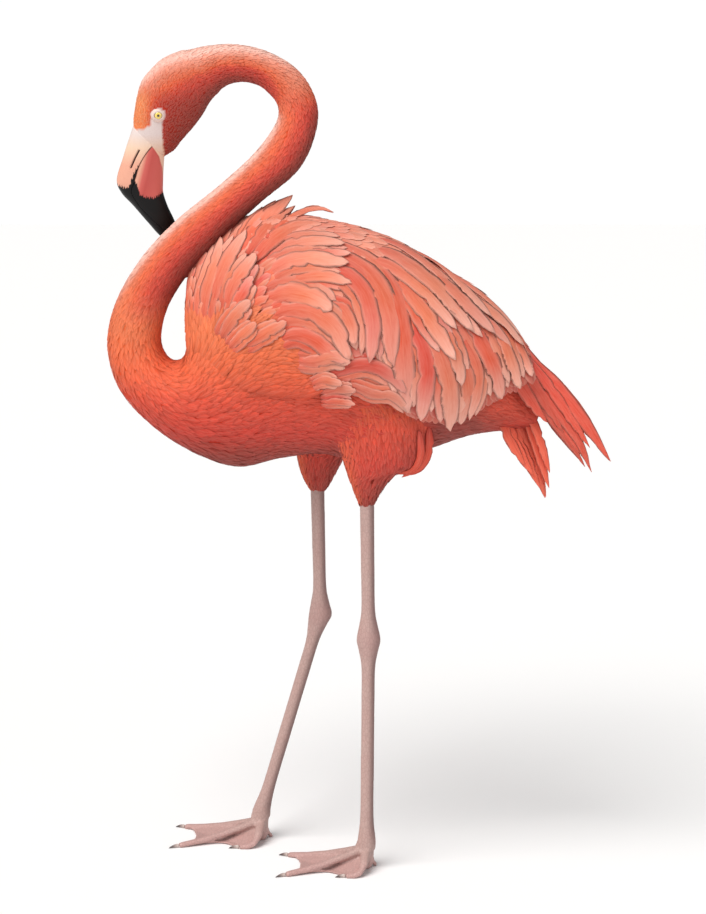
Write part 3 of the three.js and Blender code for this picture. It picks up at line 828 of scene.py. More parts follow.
# Painted shade inside the pressed-in nostril.
colours = blend(colours, NOSTRIL_SHADE, rise(press, 0.0008, 0.002))
edge = [
    (-346, 993), (-340, 991.5), (-334, 990), (-330, 992),
    (-327, 1001), (-322, 1013), (-317, 1021), (-300, 1034),
]  # fmt: skip
colours = tipped(colours, x, z, edge, ((1.6, 1.9, 0), (1.1, 4.3, 1)), (996, 1004))
paint(upper.data, "horn", colours)

lower, x, z, press = jaw("bill_lower_horn", "INTERSECT", -CLOSED)
slanted = x - 0.27 * (z - 1030)
stops = [(-310, HORN_PEACH), (-304, HORN_PINK), (-297, HORN_RED), (-280, HORN_PINK)]
rear = np.interp(z, [1000, 1018, 1034, 1048, 1060], [-281, -282, -286, -295, -300])
colours = blend(ramp(slanted, *stops), HORN_CREAM, rise(x - rear, -0.6, 0.6) * 0.9)
edge = [
    (-322, 1003), (-319.5, 996.5), (-314.7, 981), (-309, 977.5),
    (-295, 975.5), (-283.3, 982), (-276, 986),
]  # fmt: skip
colours = tipped(colours, x, z, edge, ((1.5, 2.3, 0), (1.0, 5.1, 2)), (1000, 1006))
paint(lower.data, "horn", colours)

horn = Finish("bill_horn", roughness=0.35, coat_weight=0.05, coat_roughness=0.3, specular_ior_level=0.22)
growth = horn.noise(90, 4, (1, 1, 0.25))
fine = horn.noise(900, 2)
base = horn.attribute("horn")
older = horn.mix(1.0, base, (0.82, 0.62, 0.55, 1), "MULTIPLY")
horn.plug({"base_color": horn.mix(growth * 0.35, base, older), "roughness": 0.28 + growth * 0.2})
horn.bump(growth * 0.7 + fine * 0.3, 0.0004, 0.5)
for piece, node in ((upper, "bill_upper"), (lower, "bill_lower")):
    piece.data.materials.clear()
    piece.data.materials.append(horn.material)
    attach(piece, "root")
    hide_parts(node)
    print(piece.name, len(piece.data.polygons))

# %% [markdown]
# The claws are small and worn, so the solids' own shapes only need rounding: a merged copy with a
# subdivision surface, pale horn that darkens to the tip.

# %% Claws
claw_finish = Finish("claw_horn", roughness=0.35, coat_weight=0.2)
tip = claw_finish.attribute("worn", "Fac")
streak = claw_finish.noise(400, 3, (0.3, 1, 1))
stops = [(0.0, (0.02, 0.015, 0.015)), (0.35, (0.10, 0.06, 0.055)), (0.8, (0.55, 0.44, 0.40))]
where = {"Fac": tip + streak * 0.2 - 0.1}
tone = claw_finish.node("ShaderNodeValToRGB", {"stops": stops}, where)
claw_finish.plug({"base_color": tone})
claw_finish.bump(streak, 0.0003, 0.5)
for side in ("left", "right"):
    for toe in ("inner", "middle", "outer"):
        node = f"claw_{toe}_{side}"
        claw = object_from(copy_of(node), node + "_horn")
        x = surface_of(claw.data)[0][:, 0]
        worn = claw.data.attributes.new("worn", "FLOAT", "POINT")
        worn.data.foreach_set("value", (x - x.min()) / np.ptp(x))
        rounding = claw.modifiers.new("rounding", "SUBSURF")
        rounding.levels = rounding.render_levels = 2
        claw.data.materials.append(claw_finish.material)
        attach(claw, "root")
        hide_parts(node)

# %% [markdown]
# Feathers could be hair particles, but those are lines without width, and they are lost when the
# model leaves Blender. Here every feather is a thin closed vane of real mesh. It is walked over
# the skin from its root: step, press back onto the surface, turn with the lie of the coat, step
# again. A ring of points is set round each step, wide in the middle and narrow at the tip. The
# root lies in the skin and the tip stands a little off it, so the vanes overlap as shingles do.
# A feather keeps its own small patch on a map of the skin, at its root's place.


# %% Walking and weaving feathers
def walk(tree, places, headings, lengths, stations, steer=None):
    """Paths of the feathers over a surface, and the way the surface faces along them."""
    step = (lengths / (stations - 1))[:, None]
    path, faces = [], []
    for _ in range(stations):
        found = [tree.find_nearest(Vector(p)) for p in places]
        places = np.array([f[0][:] for f in found])
        facing = np.array([f[1][:] for f in found])
        path.append(places)
        faces.append(facing)
        if steer is not None:
            headings = steer(places)
        headings = unit(headings - facing * (headings * facing).sum(-1, keepdims=True))
        places = places + headings * step
    path, faces = np.stack(path, 1), np.stack(faces, 1)
    for _ in range(2):
        inner = unit(faces[:, :-2] + 2 * faces[:, 1:-1] + faces[:, 2:])
        faces = np.concatenate([faces[:, :1], inner, faces[:, -1:]], 1)
    return path, faces


# Sections of the vanes: places across, and heights in thicknesses.
TUFT = [(-1, 0.0), (0, 1.0), (1, 0.0)]
COVERT = [(-1, 0.2), (-0.5, 0.9), (0, 1.7), (0.5, 0.9), (1, 0.2), (0, 0.0)]
PLUME = [
    (-1, 0.2), (-0.6, 0.8), (-0.12, 1.1), (0, 2.0), (0.12, 1.1),
    (0.6, 0.8), (1, 0.2), (0.5, 0.0), (0, 0.0), (-0.5, 0.0),
]  # fmt: skip
PATCH = 0.003  # a feather's share of the map
THINNING = 0.75  # how much thinner the tip is than the root


def run_of(points):
    """Distance along lines of points, from 0 at their first."""
    steps = np.linalg.norm(np.diff(points, axis=-2), axis=-1)
    return np.concatenate([np.zeros((*steps.shape[:-1], 1)), np.cumsum(steps, -1)], -1)


def vanes(name, path, faces, half, lift, tone, spots, ring, thick, sweep, cup, slot, finish, rim=0.0):
    """
    One joined mesh of vanes on paths. half is the half width, for each station or also for each
    side, lift the height over the path, tone the colour and spots the places on the map.
    """
    count, stations = path.shape[:2]
    across, height = np.array(ring, float).T
    r, t = len(ring), np.linspace(0, 1, stations)
    ahead = unit(np.gradient(path, axis=1))
    side = unit(np.cross(ahead, faces))
    up = np.cross(side, ahead)
    ahead, side, up = (v[:, :, None] for v in (ahead, side, up))
    half = half if half.ndim == 3 else half[..., None].repeat(2, -1)
    offset = across * np.where(across < 0, half[..., :1], half[..., 1:])
    taper = (1 - THINNING * t**2)[:, None]
    over = lift[..., None] + thick * height * taper - cup * offset**2
    forward = sweep * np.abs(offset)
    points = path[:, :, None] + side * offset[..., None] + up * over[..., None] + ahead * forward[..., None]

    grid = np.arange(count * stations * r).reshape(count, stations, r)
    onward = np.roll(grid, -1, axis=2)
    quads = np.stack([grid[:, :-1], onward[:, :-1], onward[:, 1:], grid[:, 1:]], -1).reshape(-1)
    caps = np.concatenate([grid[:, 0, ::-1].reshape(-1), grid[:, -1].reshape(-1)])
    loops = np.concatenate([quads, caps])
    starts = np.concatenate([np.arange(0, len(quads), 4), len(quads) + np.arange(0, len(caps), r)])
    mesh = bpy.data.meshes.new(name)
    mesh.vertices.add(grid.size)
    mesh.vertices.foreach_set("co", points.ravel())
    mesh.loops.add(len(loops))
    mesh.loops.foreach_set("vertex_index", loops.astype(np.int32))
    mesh.polygons.add(len(starts))
    mesh.polygons.foreach_set("loop_start", starts.astype(np.int32))
    mesh.update(calc_edges=True)
    mesh.shade_smooth()
    if ring is not PLUME:  # short feathers shade as one soft surface, whichever way each face leans
        soft = unit(up + 0.45 * across[:, None] * side).reshape(-1, 3)
        outward = np.where(np.diff(across, append=-1) > 0, 1.0, -1.0)
        turn = [np.tile(np.repeat(outward, 4), count * (stations - 1)), np.zeros(len(caps))]
        mesh.normals_split_custom_set(soft[loops] * np.concatenate(turn)[:, None])

    whole = np.ones((count, stations, r))
    rimmed = blend(tone[:, :, None] * whole[..., None], PALE, rim * np.abs(across) ** 3 * whole)
    paint(mesh, "plumage", rimmed.reshape(-1, 3))
    seed = np.random.default_rng(count).random(count)[:, None, None]
    vane = np.stack([offset, run_of(path)[..., None] + forward, seed * whole], -1)
    layer = mesh.attributes.new("vane", "FLOAT_VECTOR", "POINT")
    layer.data.foreach_set("vector", vane.ravel())
    spots = spots - spots.min(0)
    spots = 0.02 + 0.95 * spots / np.maximum(spots.max(0), 1e-6)
    u = spots[:, 0, None, None] + 0.5 * PATCH * across * whole
    v = spots[:, 1, None, None] + PATCH * t[:, None] * whole
    place = np.clip(np.stack([u, v], -1).reshape(-1, 2), 0, 1)
    mesh.uv_layers.new(name="OFBake").data.foreach_set("uv", place[loops].ravel())
    mesh.materials.append(finish.material)
    made = placed(mesh, name)
    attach(made, "root")
    print(name, count, "feathers", len(quads) // 2 + len(caps) - 4 * count, "triangles")
    return made


# %% Roots in staggered rows
def rooted(loft, span, row_gap, gap, rng, low=-np.pi, high=np.pi):
    """Places of roots on a loft, in rows that are staggered as shingles are."""
    fine, turn = np.linspace(*span, 300), np.linspace(low, high, 73)
    side = loft.at(fine, (low + high) / 2 if high - low < 6 else np.pi / 2)
    run = run_of(side)
    rows = np.interp(np.arange(0, run[-1], row_gap), run, fine)
    along, around = [], []
    for i, row in enumerate(rows):
        girth = run_of(loft.at(np.full(73, row), turn))
        count = max(int(girth[-1] / gap), 3)
        spots = (np.arange(count) + 0.5 * (i % 2) + 0.25 + rng.uniform(-0.3, 0.3, count)) % count
        around.append(np.interp(spots / count * girth[-1], girth, turn))
        shift = rng.uniform(-0.4, 0.4, count) * (rows[1] - rows[0])
        along.append(np.clip(row + shift, *span))
    return np.concatenate(along), np.concatenate(around)


def downstream(loft, along, around):
    step = 0.02
    back, front = np.clip(along - step, 0, loft.last), np.clip(along + step, 0, loft.last)
    return unit(loft.at(front, around) - loft.at(back, around))


def solid_tree(bm):
    tree = BVHTree.FromBMesh(bm)
    bm.free()
    return tree


def depth_in(tree, points):
    """How far points lie inside a closed surface; negative outside."""
    found = [tree.find_nearest(Vector(p)) for p in points]
    return np.array([(f[0] - Vector(p)).dot(f[1]) for f, p in zip(found, points)])


# %% Feather finish
def feather_finish(name, pitch, roughness, streak=0.5):
    made = Finish(name, roughness=roughness, specular_ior_level=0.2)
    vane = made.attribute("vane", "Vector")
    x, y, seed = (made.node("ShaderNodeSeparateXYZ", {}, {0: vane}, output=i) for i in range(3))
    side = x.math("ABSOLUTE")
    barbs = ((y - side * 1.1) * (2 * np.pi / pitch) + seed * 40).math("SINE") * 0.5 + 0.5
    where = made.node("ShaderNodeCombineXYZ", {}, {0: x * 420, 1: (y - side) * 60, 2: seed * 90})
    soft = made.node("ShaderNodeTexNoise", {}, {"Vector": where, "Scale": 1.0, "Detail": 3.0})
    shaft = 1 - made.step(side, 0.0002, 0.0007)
    base = made.attribute("plumage")
    deep = made.mix(1.0, base, (0.86, 0.52, 0.44, 1), "MULTIPLY")
    pale = made.mix(0.24, base, (1.0, 0.68, 0.56, 1))
    tinted = made.mix(streak, base, made.mix(soft, deep, pale))
    tinted = made.mix(barbs * 0.12, tinted, deep)
    tinted = made.mix(shaft * 0.25, tinted, pale)
    made.plug({"base_color": tinted, "roughness": roughness - 0.12 + soft * 0.24})
    made.bump(barbs * 0.5 + soft * 0.5, 0.0004, 0.5)
    return made


down = feather_finish("short_feathers", 0.0008, 0.72)
contour = feather_finish("body_feathers", 0.0011, 0.68)
vaned = feather_finish("wing_feathers", 0.0013, 0.6, 0.7)

# %% [markdown]
# The short coat of the head and neck: thousands of narrow tufts, 4 mm long at the bill and 13 mm
# at the base of the neck, lying from head to tail. They are left out on the bare face.


# %% Short coat
Kind = namedtuple("Kind", "stations splay thick slot finish")
DOWN = Kind(4, 0.18, 0.0004, "neck_feathers", down)
CONTOUR = Kind(5, 0.12, 0.00035, "body_feathers", contour)
# Row number on the loft, length and width, the last two in millimetres.
HEAD_DOWN = [(0, 3.5, 1.9), (1, 4.5, 2.1), (3, 6.5, 2.5), (6, 9, 3)]
NECK_DOWN = [(0, 10, 3.6), (6, 13, 4.2), (11.6, 17, 5)]


def tufts(name, rng, path, faces, width, lift, colour, spots, kind):
    """Short feathers on walked paths, each a little uneven in width, lift and tone."""
    count, t = len(path), np.linspace(0, 1, path.shape[1])
    outline = np.interp(t, (0, 0.3, 0.6, 0.85, 1), (0.6, 1, 0.95, 0.6, 0.08))
    half = 0.5 * width * outline * rng.uniform(0.8, 1.2, (count, 1))
    height = (lift * rng.uniform(0.5, 1.4, (count, 1)) + 0.0012) * t**0.8 - 0.0008
    tone = colour(path, faces) * rng.normal(1, 0.07, (count, 1, 1))
    # Painted shade: darker at the root, where the tuft before it covers it, and a little lighter at the tip.
    tone = np.clip(tone * np.interp(t, (0, 0.5, 1), (0.84, 0.97, 1.05))[:, None], 0, 1)
    look = (TUFT, kind.thick, 0.25, 0.0, kind.slot, kind.finish)
    return vanes(name, path, faces, half, height, tone, spots, *look)


def short_coat(name, loft, span, gaps, table, lift, colour, kind, seed, keep=None):
    """Short feathers over a span of a loft, where keep lets them stand."""
    rng = np.random.default_rng(seed)
    along, around = rooted(loft, span, *gaps, rng)
    rows, lengths, widths = np.transpose(table)
    size = np.interp(along, rows, lengths) / 1000 * rng.uniform(0.8, 1.25, len(along))
    if keep is not None:
        kept = keep(loft.at(along, around))
        along, around, size = along[kept], around[kept], size[kept]
    roots, facing = loft.at(along, around), loft.normal(along, around)
    headings = downstream(loft, along, around)
    aside = rng.normal(0, kind.splay, len(along))[:, None]
    headings = unit(headings + np.cross(facing, headings) * aside)
    path, faces = walk(body_tree, roots, headings, size, kind.stations)
    clear = ~bare_face(path).any(1) & ~bare_face(roots)
    width = np.interp(along[clear], rows, widths)[:, None] / 1000
    spots = np.column_stack([along, around])[clear]
    return tufts(name, rng, path[clear], faces[clear], width, lift, colour, spots, kind)


short_coat("head_coat", head_loft, (0.1, 5.9), (0.0023, 0.0024), HEAD_DOWN, 0.0003, body_colour, DOWN, 11)
for name, span, seed in (("neck_coat_upper", (0.0, 6.2), 12), ("neck_coat_lower", (6.2, 11.6), 13)):
    short_coat(name, neck_and_trunk, span, (0.0037, 0.0035), NECK_DOWN, 0.0005, body_colour, DOWN, seed)

# %% [markdown]
# Breast, belly, rump and thighs wear contour feathers of 20 to 28 mm, in rows like tiles. Roots
# that would be buried under the wing, or inside the trunk, are left out.

# %% Body coat
BODY_CONTOUR = [(11.6, 19, 6.6), (14, 26, 9.5), (22, 28, 10.5)]
THIGH_CONTOUR = [(0, 26, 8), (5, 19, 6), (7, 12, 3.5)]
coat_tree = solid_tree(tube(coat_loft, 0.02, 10.95, 90, 96, -0.001))
trunk_tree = solid_tree(tube(neck_and_trunk, 10.5, 22, 120, 72, -0.003))
thigh_trees = [solid_tree(tube(loft, 0.3, 7, 40, 48, -0.004)) for loft in thigh_lofts.values()]


def uncovered(roots):
    below = roots[:, 2] < height_of(FLESH_EDGE, roots[:, 0])
    on_trunk = np.all([depth_in(tree, roots) < 0.001 for tree in thigh_trees], axis=0)
    return (depth_in(coat_tree, roots) < 0.010 + 0.05 * below) & on_trunk


def off_trunk(roots):
    return depth_in(trunk_tree, roots) < 0.004


for name, span, seed in (("breast_coat", (11.6, 14.6), 14), ("belly_coat", (14.6, 21.9), 15)):
    gaps = (0.0065, 0.0062)
    short_coat(name, neck_and_trunk, span, gaps, BODY_CONTOUR, 0.0007, body_colour, CONTOUR, seed, uncovered)
for side, seed in (("left", 20), ("right", 21)):
    name, gaps = f"thigh_coat_{side}", (0.0055, 0.0055)
    loft = thigh_lofts[side]
    short_coat(name, loft, (0.6, 6.9), gaps, THIGH_CONTOUR, 0.0010, thigh_colour, CONTOUR, seed, off_trunk)

# %% [markdown]
# The wing and mantle feathers don't simply lie from head to tail. They fan up from the shoulder,
# arch over to the rear and droop behind, so their lie is a field: a few long feathers are drawn
# as lines in side view and laid on the wing, and the lie anywhere else is a mean of those lines'
# directions, the nearest counting most. The same lines are then the long loose plumes on top.

# %% Lines of the long plumes
# Each row is a width and its line as x, z in millimetres, from root to tip, on the left side.
PLUMES = [
    (26, [(-219, 793), (-214, 838), (-201, 882), (-193, 916)]),
    (30, [(-208, 810), (-197, 854), (-179, 893), (-156, 926)]),
    (26, [(-187, 816), (-175, 852), (-158, 875), (-142, 895)]),
    (22, [(-180, 803), (-165, 836), (-146, 865)]),
    (22, [(-196, 775), (-180, 800), (-165, 818), (-149, 833)]),
    (18, [(-185, 764), (-162, 785), (-141, 803)]),
    (20, [(-165, 767), (-134, 786), (-100, 805)]),
    (36, [(-71, 901), (-10, 885), (26, 850), (41, 806), (42, 768), (46, 745)]),
    (30, [(-93, 874), (-38, 877), (1, 850), (17, 807), (17, 774), (13, 750)]),
    (24, [(-132, 891), (-99, 907), (-68, 912), (-43, 911), (-22, 907)]),
    (20, [(-110, 885), (-71, 894), (-41, 896), (-13, 894)]),
    (28, [(-137, 863), (-104, 883), (-71, 889), (-43, 886), (-16, 882)]),
    (22, [(-115, 850), (-82, 864), (-54, 866), (-29, 861), (-12, 855)]),
    (22, [(-54, 828), (-27, 823), (-13, 801), (-8, 774)]),
    (34, [(-131, 806), (-98, 821), (-65, 817), (-40, 801), (-24, 777), (-15, 754)]),
    (34, [(-137, 831), (-104, 843), (-71, 839), (-49, 828), (-39, 820)]),
    (26, [(-118, 776), (-90, 787), (-65, 781), (-43, 765), (-18, 750)]),
    (24, [(-93, 751), (-60, 751), (-38, 757), (-13, 750)]),
    (24, [(-57, 723), (-27, 738), (9, 746), (40, 733), (64, 708)]),
    (18, [(-30, 722), (-5, 715), (18, 706), (45, 703), (70, 680)]),
    (16, [(-71, 716), (-49, 725), (-24, 721)]),
    (16, [(-57, 705), (-32, 712), (-5, 712)]),
    (14, [(-55, 692), (-30, 695), (-6, 693)]),
]  # fmt: skip
DROOPING = [
    (38, [(-6, 899), (35, 861), (53, 813), (60, 747), (66, 680)]),
    (30, [(60, 830), (79, 785), (91, 752), (90, 713), (84, 669)]),
    (32, [(68, 829), (99, 779), (119, 735), (125, 694), (126, 653)]),
    (20, [(132, 800), (147, 773), (162, 739), (162, 705), (152, 668)]),
    (26, [(121, 795), (141, 751), (149, 711), (140, 662)]),
    (24, [(99, 825), (121, 779), (134, 745), (139, 717)]),
    (32, [(139, 824), (161, 786), (184, 741), (197, 696)]),
    (22, [(198, 803), (220, 769), (240, 722)]),
    (26, [(168, 823), (196, 776), (210, 743), (223, 709)]),
    (28, [(22, 875), (60, 850), (90, 812), (130, 751)]),
    (36, [(-1, 910), (50, 891), (105, 847), (155, 787)]),
    (32, [(51, 910), (98, 871), (145, 824), (184, 782)]),
    (30, [(98, 876), (148, 838), (197, 798), (226, 763)]),
]  # fmt: skip


FAR_LEFT, INWARD = -0.4, Vector((0, 1, 0))


def on_wing(line, tree=coat_tree):
    """A line in side view, laid on the left of the wing."""
    laid = []
    for x, z in np.array(line, float) / 1000:
        hit = tree.ray_cast(Vector((x, FAR_LEFT, z)), INWARD)[0]
        laid.append(hit[:] if hit else tree.find_nearest(Vector((x, -0.03, z)))[0][:])
    return np.array(laid)


def resample(line, stations):
    """Evenly spaced points on the spline through a line."""
    fine = spline(line, np.linspace(0, len(line) - 1.0001, 120))
    run = run_of(fine)
    even = np.linspace(0, run[-1], stations)
    return np.stack([np.interp(even, run, fine[:, i]) for i in range(3)], -1)


guides = [resample(on_wing(line), 8) for _, line in PLUMES + DROOPING]
ridge = coat_loft.at(np.linspace(3, 10.8, 24), 0.05)
starts = np.concatenate([*(g[:-1] for g in guides), ridge[:-1]])
lies = np.concatenate([*(unit(np.diff(g, axis=0)) for g in guides), unit(np.diff(ridge, axis=0))])


def lie_on(side):
    """The lie of the coat on one side, as a function of place."""
    mirror = np.array((1, -side, 1))

    def steer(places):
        away = ((places[:, None] * mirror - starts[None]) ** 2).sum(-1)
        weight = 1 / (away + 0.008**2) ** 2
        return unit((weight[..., None] * lies).sum(1)) * mirror

    return steer


# %% [markdown]
# Low on the shoulder the coat of the breast runs on over the wing as short soft feathers, and
# grows into coverts behind and above. Both follow the lie of the plumes. Real coverts thin out
# where the wing's edge is, so a covert that would hang below it is shortened or left out.


# %% Shoulder coat and wing coverts
def shoulder_of(places):
    """1 low on the shoulder, where short soft feathers run into the breast; 0 over the wing."""
    return (1 - rise(places[..., 0], -0.13, -0.05)) * (1 - rise(places[..., 2], 0.775, 0.83))


def above_edge(places):
    return places[:, 2] - height_of(WING_EDGE, places[:, 0])


def wing_roots(side, span, gaps, reach, rng):
    """Roots on one side of the wing, from near the ridge to an angle reach round it."""
    low, high = (0.03, reach) if side < 0 else (-reach, -0.03)
    along, around = rooted(coat_loft, span, *gaps, rng, low, high)
    return np.column_stack([along, around]), coat_loft.at(along, around)


def shoulder_coat(side, name, seed):
    rng = np.random.default_rng(seed)
    spots, roots = wing_roots(side, (0.1, 6.0), (0.0062, 0.0058), 2.6, rng)
    kept = (shoulder_of(roots) > 0.25) & (depth_in(trunk_tree, roots) < 0.002) & (above_edge(roots) > -0.012)
    spots, roots = spots[kept], roots[kept]
    size, steer = 0.027 * rng.uniform(0.8, 1.25, len(roots)), lie_on(side)
    path, faces = walk(coat_tree, roots, steer(roots), size, CONTOUR.stations, steer)
    return tufts(name, rng, path, faces, 0.0084, 0.0008, body_colour, spots, CONTOUR)


def ragged(rng, shape, depth):
    """Uneven width, with a few deeper splits between the barbs."""
    split = rng.random(shape) < 0.12
    return 1 - depth * rng.random(shape) - split * rng.uniform(0.1, 0.35, shape)


def vane_tone(path, faces, tones, rng, tip):
    """Colour along each vane: redder at the root as painted shade where the feathers before it cover it,
    and paler at the tip by the amount tip.
    """
    t = np.linspace(0, 1, path.shape[1])
    whole = np.ones(path.shape[:2])
    tone = wing_colour(path, faces, tones[:, None] * whole)
    # Painted shade at the root, under the feathers that overlap it.
    tone = blend(tone, RED, np.interp(t, (0, 0.25, 0.6), (0.75, 0.45, 0)) * whole)
    tone = blend(tone, PALE, np.interp(t, (0.6, 1), (0, 1)) * tip * (1 - 0.8 * shoulder_of(path)))
    return np.clip(tone * rng.normal(1, 0.05, (len(path), 1, 1)), 0, 1)


def wing_coat(side, name, seed):
    rng = np.random.default_rng(seed)
    spots, roots = wing_roots(side, (0.25, 10.3), (0.0135, 0.0115), 2.3, rng)
    kept = (above_edge(roots) > 0.012) & (depth_in(trunk_tree, roots) < 0.001) & (shoulder_of(roots) < 0.6)
    spots, roots = spots[kept], roots[kept]
    size = np.interp(roots[:, 0], (-0.2, -0.1, 0.05, 0.2), (0.038, 0.050, 0.062, 0.066))
    size *= rng.uniform(0.85, 1.2, len(roots)) * (1 - 0.35 * shoulder_of(roots))
    steer = lie_on(side)
    for _ in range(5):
        path, faces = walk(coat_tree, roots, steer(roots), size, 9, steer)
        hangs = above_edge(path[:, -1]) < -0.006
        size = np.where(hangs, size * 0.78, size)
    kept = ~hangs & (size > 0.016)
    path, faces, size, spots = path[kept], faces[kept], size[kept], spots[kept]
    t = np.linspace(0, 1, 9)
    outline = np.interp(t, (0, 0.2, 0.5, 0.8, 0.93, 1), (0.45, 0.85, 1.0, 0.85, 0.5, 0.05))
    slim = (0.19 - 0.06 * shoulder_of(path[:, 0])) * size
    half = (slim[:, None] * outline)[..., None] * ragged(rng, (len(size), 9, 2), 0.15)
    height = -0.0015 + rng.uniform(0.0018, 0.0036, (len(size), 1)) * t**0.8 + 0.0012 * t
    height *= 1 - 0.5 * shoulder_of(path)
    tone = vane_tone(path, faces, 0.8 * rng.random(len(size)), rng, 0.3)
    x, _, z = np.moveaxis(path, -1, 0)
    # Painted shade: the coverts low and behind, under the drooping plumes, are darker red.
    tone = blend(tone, 0.5 * (RED + BRICK), 0.7 * rise(x, -0.02, 0.08) * (1 - rise(z, 0.73, 0.82)))
    look = (COVERT, 0.0004, 0.45, 2.0, "wing_feathers", vaned, 0.3)
    return vanes(name, path, faces, half, height, tone, spots, *look)


SIDES = ((-1, "left"), (1, "right"))
for make, word, seed in ((shoulder_coat, "shoulder_coat", 33), (wing_coat, "wing_coat", 31)):
    for number, (side, side_word) in enumerate(SIDES):
        make(side, f"{word}_{side_word}", seed + number)

# %% [markdown]
# The long plumes are laid over the coverts in the order they overlap, each with two slighter
# sisters half beneath it, so that none lies alone. Their edges are uneven, with splits where
# the barbs have come apart.

# %% Long plumes
def plume_lines(rows, side, rng):
    """Lines, widths, heights and springs of plumes and their sisters on one side."""
    lines, widths, levels, springs = [], [], [], []
    for order, (width, line) in enumerate(rows):
        for sister, shift in enumerate((0, 0.42, -0.42)):
            drawn = np.array(line, float)
            slope = unit(np.gradient(drawn, axis=0))
            drawn += np.column_stack([-slope[:, 1], slope[:, 0]]) * shift * width
            if sister:
                drawn[-1] += (drawn[-2] - drawn[-1]) * rng.uniform(0.15, 0.4)
            lines.append(resample(on_wing(drawn), 18) * (1, -side, 1))
            widths.append(width * (0.8 if sister else 1) / 1000)
            levels.append((0.0016 if sister else 0.0025) + 0.0005 * (order % 3))
            springs.append(0.25 if sister else 1.0)
    return (np.array(made) for made in (lines, widths, levels, springs))


def plumes(name, rows, side, seed, tip, above, upper):
    """Long plumes laid over the coverts. Rows from upper on lie over the rows before."""
    rng = np.random.default_rng(seed)
    path, widths, levels, springs = plume_lines(rows, side, rng)
    faces = np.array([[coat_tree.find_nearest(Vector(p))[1][:] for p in line] for line in path])
    for _ in range(6):
        faces[:, 1:-1] = unit(faces[:, :-2] + faces[:, 1:-1] + faces[:, 2:])
    t = np.linspace(0, 1, 18)
    outline = np.interp(t, (0, 0.12, 0.35, 0.7, 0.88, 0.96, 1), (0.35, 0.7, 1.0, 0.95, 0.65, 0.35, 0.04))
    half = (0.5 * widths[:, None] * outline)[..., None] * ragged(rng, (len(path), 18, 2), 0.12)
    height = (levels + above)[:, None] * np.interp(t, (0, 0.15, 0.5, 1), (-0.8, 0.6, 1, 1))
    height += 0.003 * springs[:, None] * t**3
    height += 0.0018 * (np.arange(len(path)) >= 3 * upper)[:, None] * rise(t, 0.3, 0.7)
    tones = rng.choice((0.1, 0.3, 0.5, 0.6, 0.8, 0.95), len(path))
    tone = vane_tone(path, faces, tones, rng, tip)
    look = (PLUME, 0.00045, 0.5, 3.0, "wing_feathers", vaned, 0.45)
    return vanes(name, path, faces, half, height, tone, path[:, 0, [0, 2]], *look)


for side, word in SIDES:
    plumes(f"plumes_{word}", PLUMES, side, 41 + side, 0.5, 0.001, len(PLUMES))
    plumes(f"drooping_plumes_{word}", DROOPING, side, 51 + side, 0.75, 0.0022, 9)

# %% [markdown]
# Some feathers stand free: the crest over the shoulders with its one curled plume, the tips of
# the folded wings, and the tail. They are drawn in space, with a third number for the place
# across the bird, and each group is given the way that its vanes face.

# %% Free feathers
CREST = [
    (26, [(-184, 874, -54), (-172, 906, -42), (-158, 935, -28), (-140, 961, -14)]),
    (28, [(-176, 882, -54), (-161, 913, -40), (-145, 943, -24), (-120, 970, -10)]),
    (34, [(-167, 888, -56), (-151, 919, -38), (-131, 947, -20), (-96, 978, -5)]),
    (24, [(-156, 896, -62), (-138, 923, -42), (-118, 945, -24), (-93, 963, -10)]),
    (30, [(-148, 888, -78), (-120, 917, -58), (-90, 934, -42), (-54, 939, -28)]),
    (14, [(-130, 918, -50), (-112, 935, -34), (-96, 947, -22), (-80, 955, -14), (-66, 959, -10),
          (-52, 959, -7), (-37, 954, -5)]),
]  # fmt: skip
WING_TIP = [
    (26, [(214, 786, -37), (246, 741, -31), (285, 702, -24), (318, 663, -18), (364, 596, -7)]),
    (22, [(212, 772, -41), (248, 720, -33), (285, 672, -25), (316, 627, -18), (336, 581, -11)]),
    (20, [(206, 760, -44), (242, 709, -36), (276, 662, -27), (305, 622, -20), (326, 589, -14)]),
    (24, [(200, 766, -48), (236, 726, -39), (262, 690, -31), (292, 641, -24)]),
    (24, [(198, 752, -51), (232, 706, -42), (252, 676, -36), (268, 656, -31)]),
    (18, [(226, 770, -33), (262, 724, -26), (300, 678, -19), (340, 622, -11)]),
    (20, [(250, 690, -30), (280, 658, -24), (304, 634, -19), (330, 598, -12)]),
    (19, [(236, 752, -33), (270, 708, -28), (300, 665, -22), (332, 617, -15)]),
]  # fmt: skip
TAIL = [
    (24, [(222, 678, -2), (240, 632, -6), (256, 590, -6), (270, 542, -3)]),
    (22, [(214, 676, -4), (230, 627, -13), (246, 592, -13), (262, 557, -10)]),
    (22, [(206, 674, -5), (222, 630, -20), (236, 602, -20), (251, 577, -17)]),
    (20, [(200, 672, -6), (214, 634, -25), (226, 612, -26), (238, 592, -24)]),
    (20, [(232, 680, -2), (250, 638, -9), (262, 600, -9), (275, 557, -6)]),
    (18, [(238, 681, -3), (256, 640, -13), (267, 606, -13), (275, 580, -11)]),
]  # fmt: skip


def outside_wing(line):
    """Moves the places of a line on the left that would be buried out to the wing's surface."""
    moved = line.copy()
    for place in moved:
        hit = coat_tree.ray_cast(Vector((place[0], FAR_LEFT, place[2])), INWARD)[0]
        if hit:
            place[1] = min(place[1], hit[1] - 0.003)
    return moved


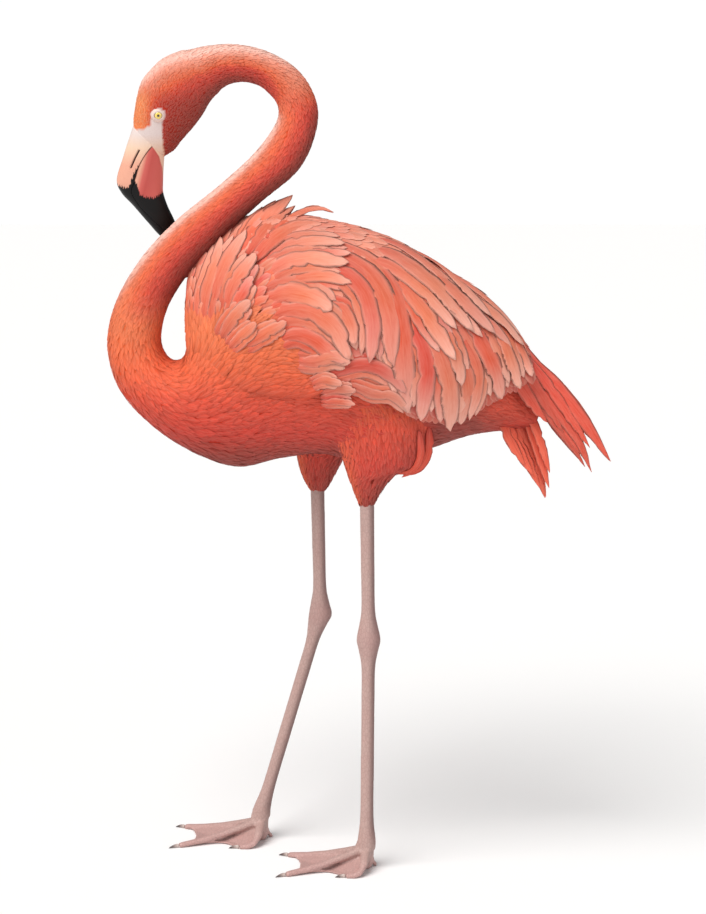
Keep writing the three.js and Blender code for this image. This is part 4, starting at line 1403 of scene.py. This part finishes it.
def free_feathers(name, rows, sides, facing, seed, slot, colours, rim, cup=5.0, sweep=0.6, outside=False):
    """Feathers drawn in space, on one side or on both, with a colour at root, middle and tip."""
    rng = np.random.default_rng(seed)
    path, widths, faces = [], [], []
    for side in sides:
        for width, line in rows:
            drawn = np.array(line, float)[:, [0, 2, 1]] / 1000
            drawn = (outside_wing(drawn) if outside else drawn) * (1, -side, 1)
            drawn += rng.normal(0, 0.0008, drawn.shape) * (side > 0)
            path.append(resample(drawn, 18))
            widths.append(width / 1000)
            faces.append(np.broadcast_to(unit(np.array(facing) * (1, -side, 1)), (18, 3)))
    path, widths, faces = np.array(path), np.array(widths), np.array(faces)
    number, t = np.arange(len(path)), np.linspace(0, 1, 18)
    outline = np.interp(t, (0, 0.12, 0.35, 0.65, 0.85, 0.95, 1), (0.45, 0.8, 1.0, 0.86, 0.5, 0.22, 0.03))
    half = (0.5 * widths[:, None] * outline)[..., None] * ragged(rng, (len(path), 18, 2), 0.12)
    height = np.zeros((len(path), 18)) + 0.0002 * number[:, None]
    tone = ramp(t, *zip((0, 0.45, 1), colours)) * rng.normal(1, 0.06, (len(path), 1, 1))
    spots = np.column_stack([number % 5, number // 5]).astype(float)
    look = (PLUME, 0.0006, sweep, cup, slot, vaned, rim)
    return vanes(name, path, faces, half, height, np.clip(tone, 0, 1), spots, *look)


BOTH = (-1, 1)
shades = (CORAL, 0.5 * (ORANGE + SALMON), PINK)
free_feathers(
    "crest_plumes", CREST, BOTH, (-0.3, -0.88, 0.36), 61, "mantle_feathers", shades, 0.3,
    sweep=0.25, outside=True,
)  # fmt: skip
for side, word in SIDES:
    name, shades = f"wing_tip_feathers_{word}", (RED, FLAME, CORAL)
    made = free_feathers(name, WING_TIP, (side,), (0.2, -0.96, 0.2), 62 + side, "tail_feathers", shades, 0.2)
    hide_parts(f"wing_tip_{word}")
shades = (CORAL, QUILL, QUILL)
tail = free_feathers("tail_quills", TAIL, BOTH, (0.45, -0.85, 0.25), 66, "tail_feathers", shades, 0.15)
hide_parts("tail")

# %% [markdown]
# Behind the left thigh a few longer feathers hang free and curl forward under its end. They are
# drawn in the same way, more strongly cupped.

# %% Tuft behind the thigh
THIGH_TUFT = [
    (16, [(98, 655, -64), (98, 622, -62), (88, 597, -57), (60, 579, -51)]),
    (13, [(84, 650, -76), (86, 612, -72), (76, 592, -64), (54, 584, -55)]),
    (13, [(99, 640, -48), (96, 606, -46), (82, 588, -46), (62, 582, -47)]),
]  # fmt: skip
shades = (RED, CORAL, CORAL)
free_feathers("thigh_tuft_left", THIGH_TUFT, (-1,), (0.3, -0.9, -0.2), 67, "body_feathers", shades, 0.0, cup=8.0)
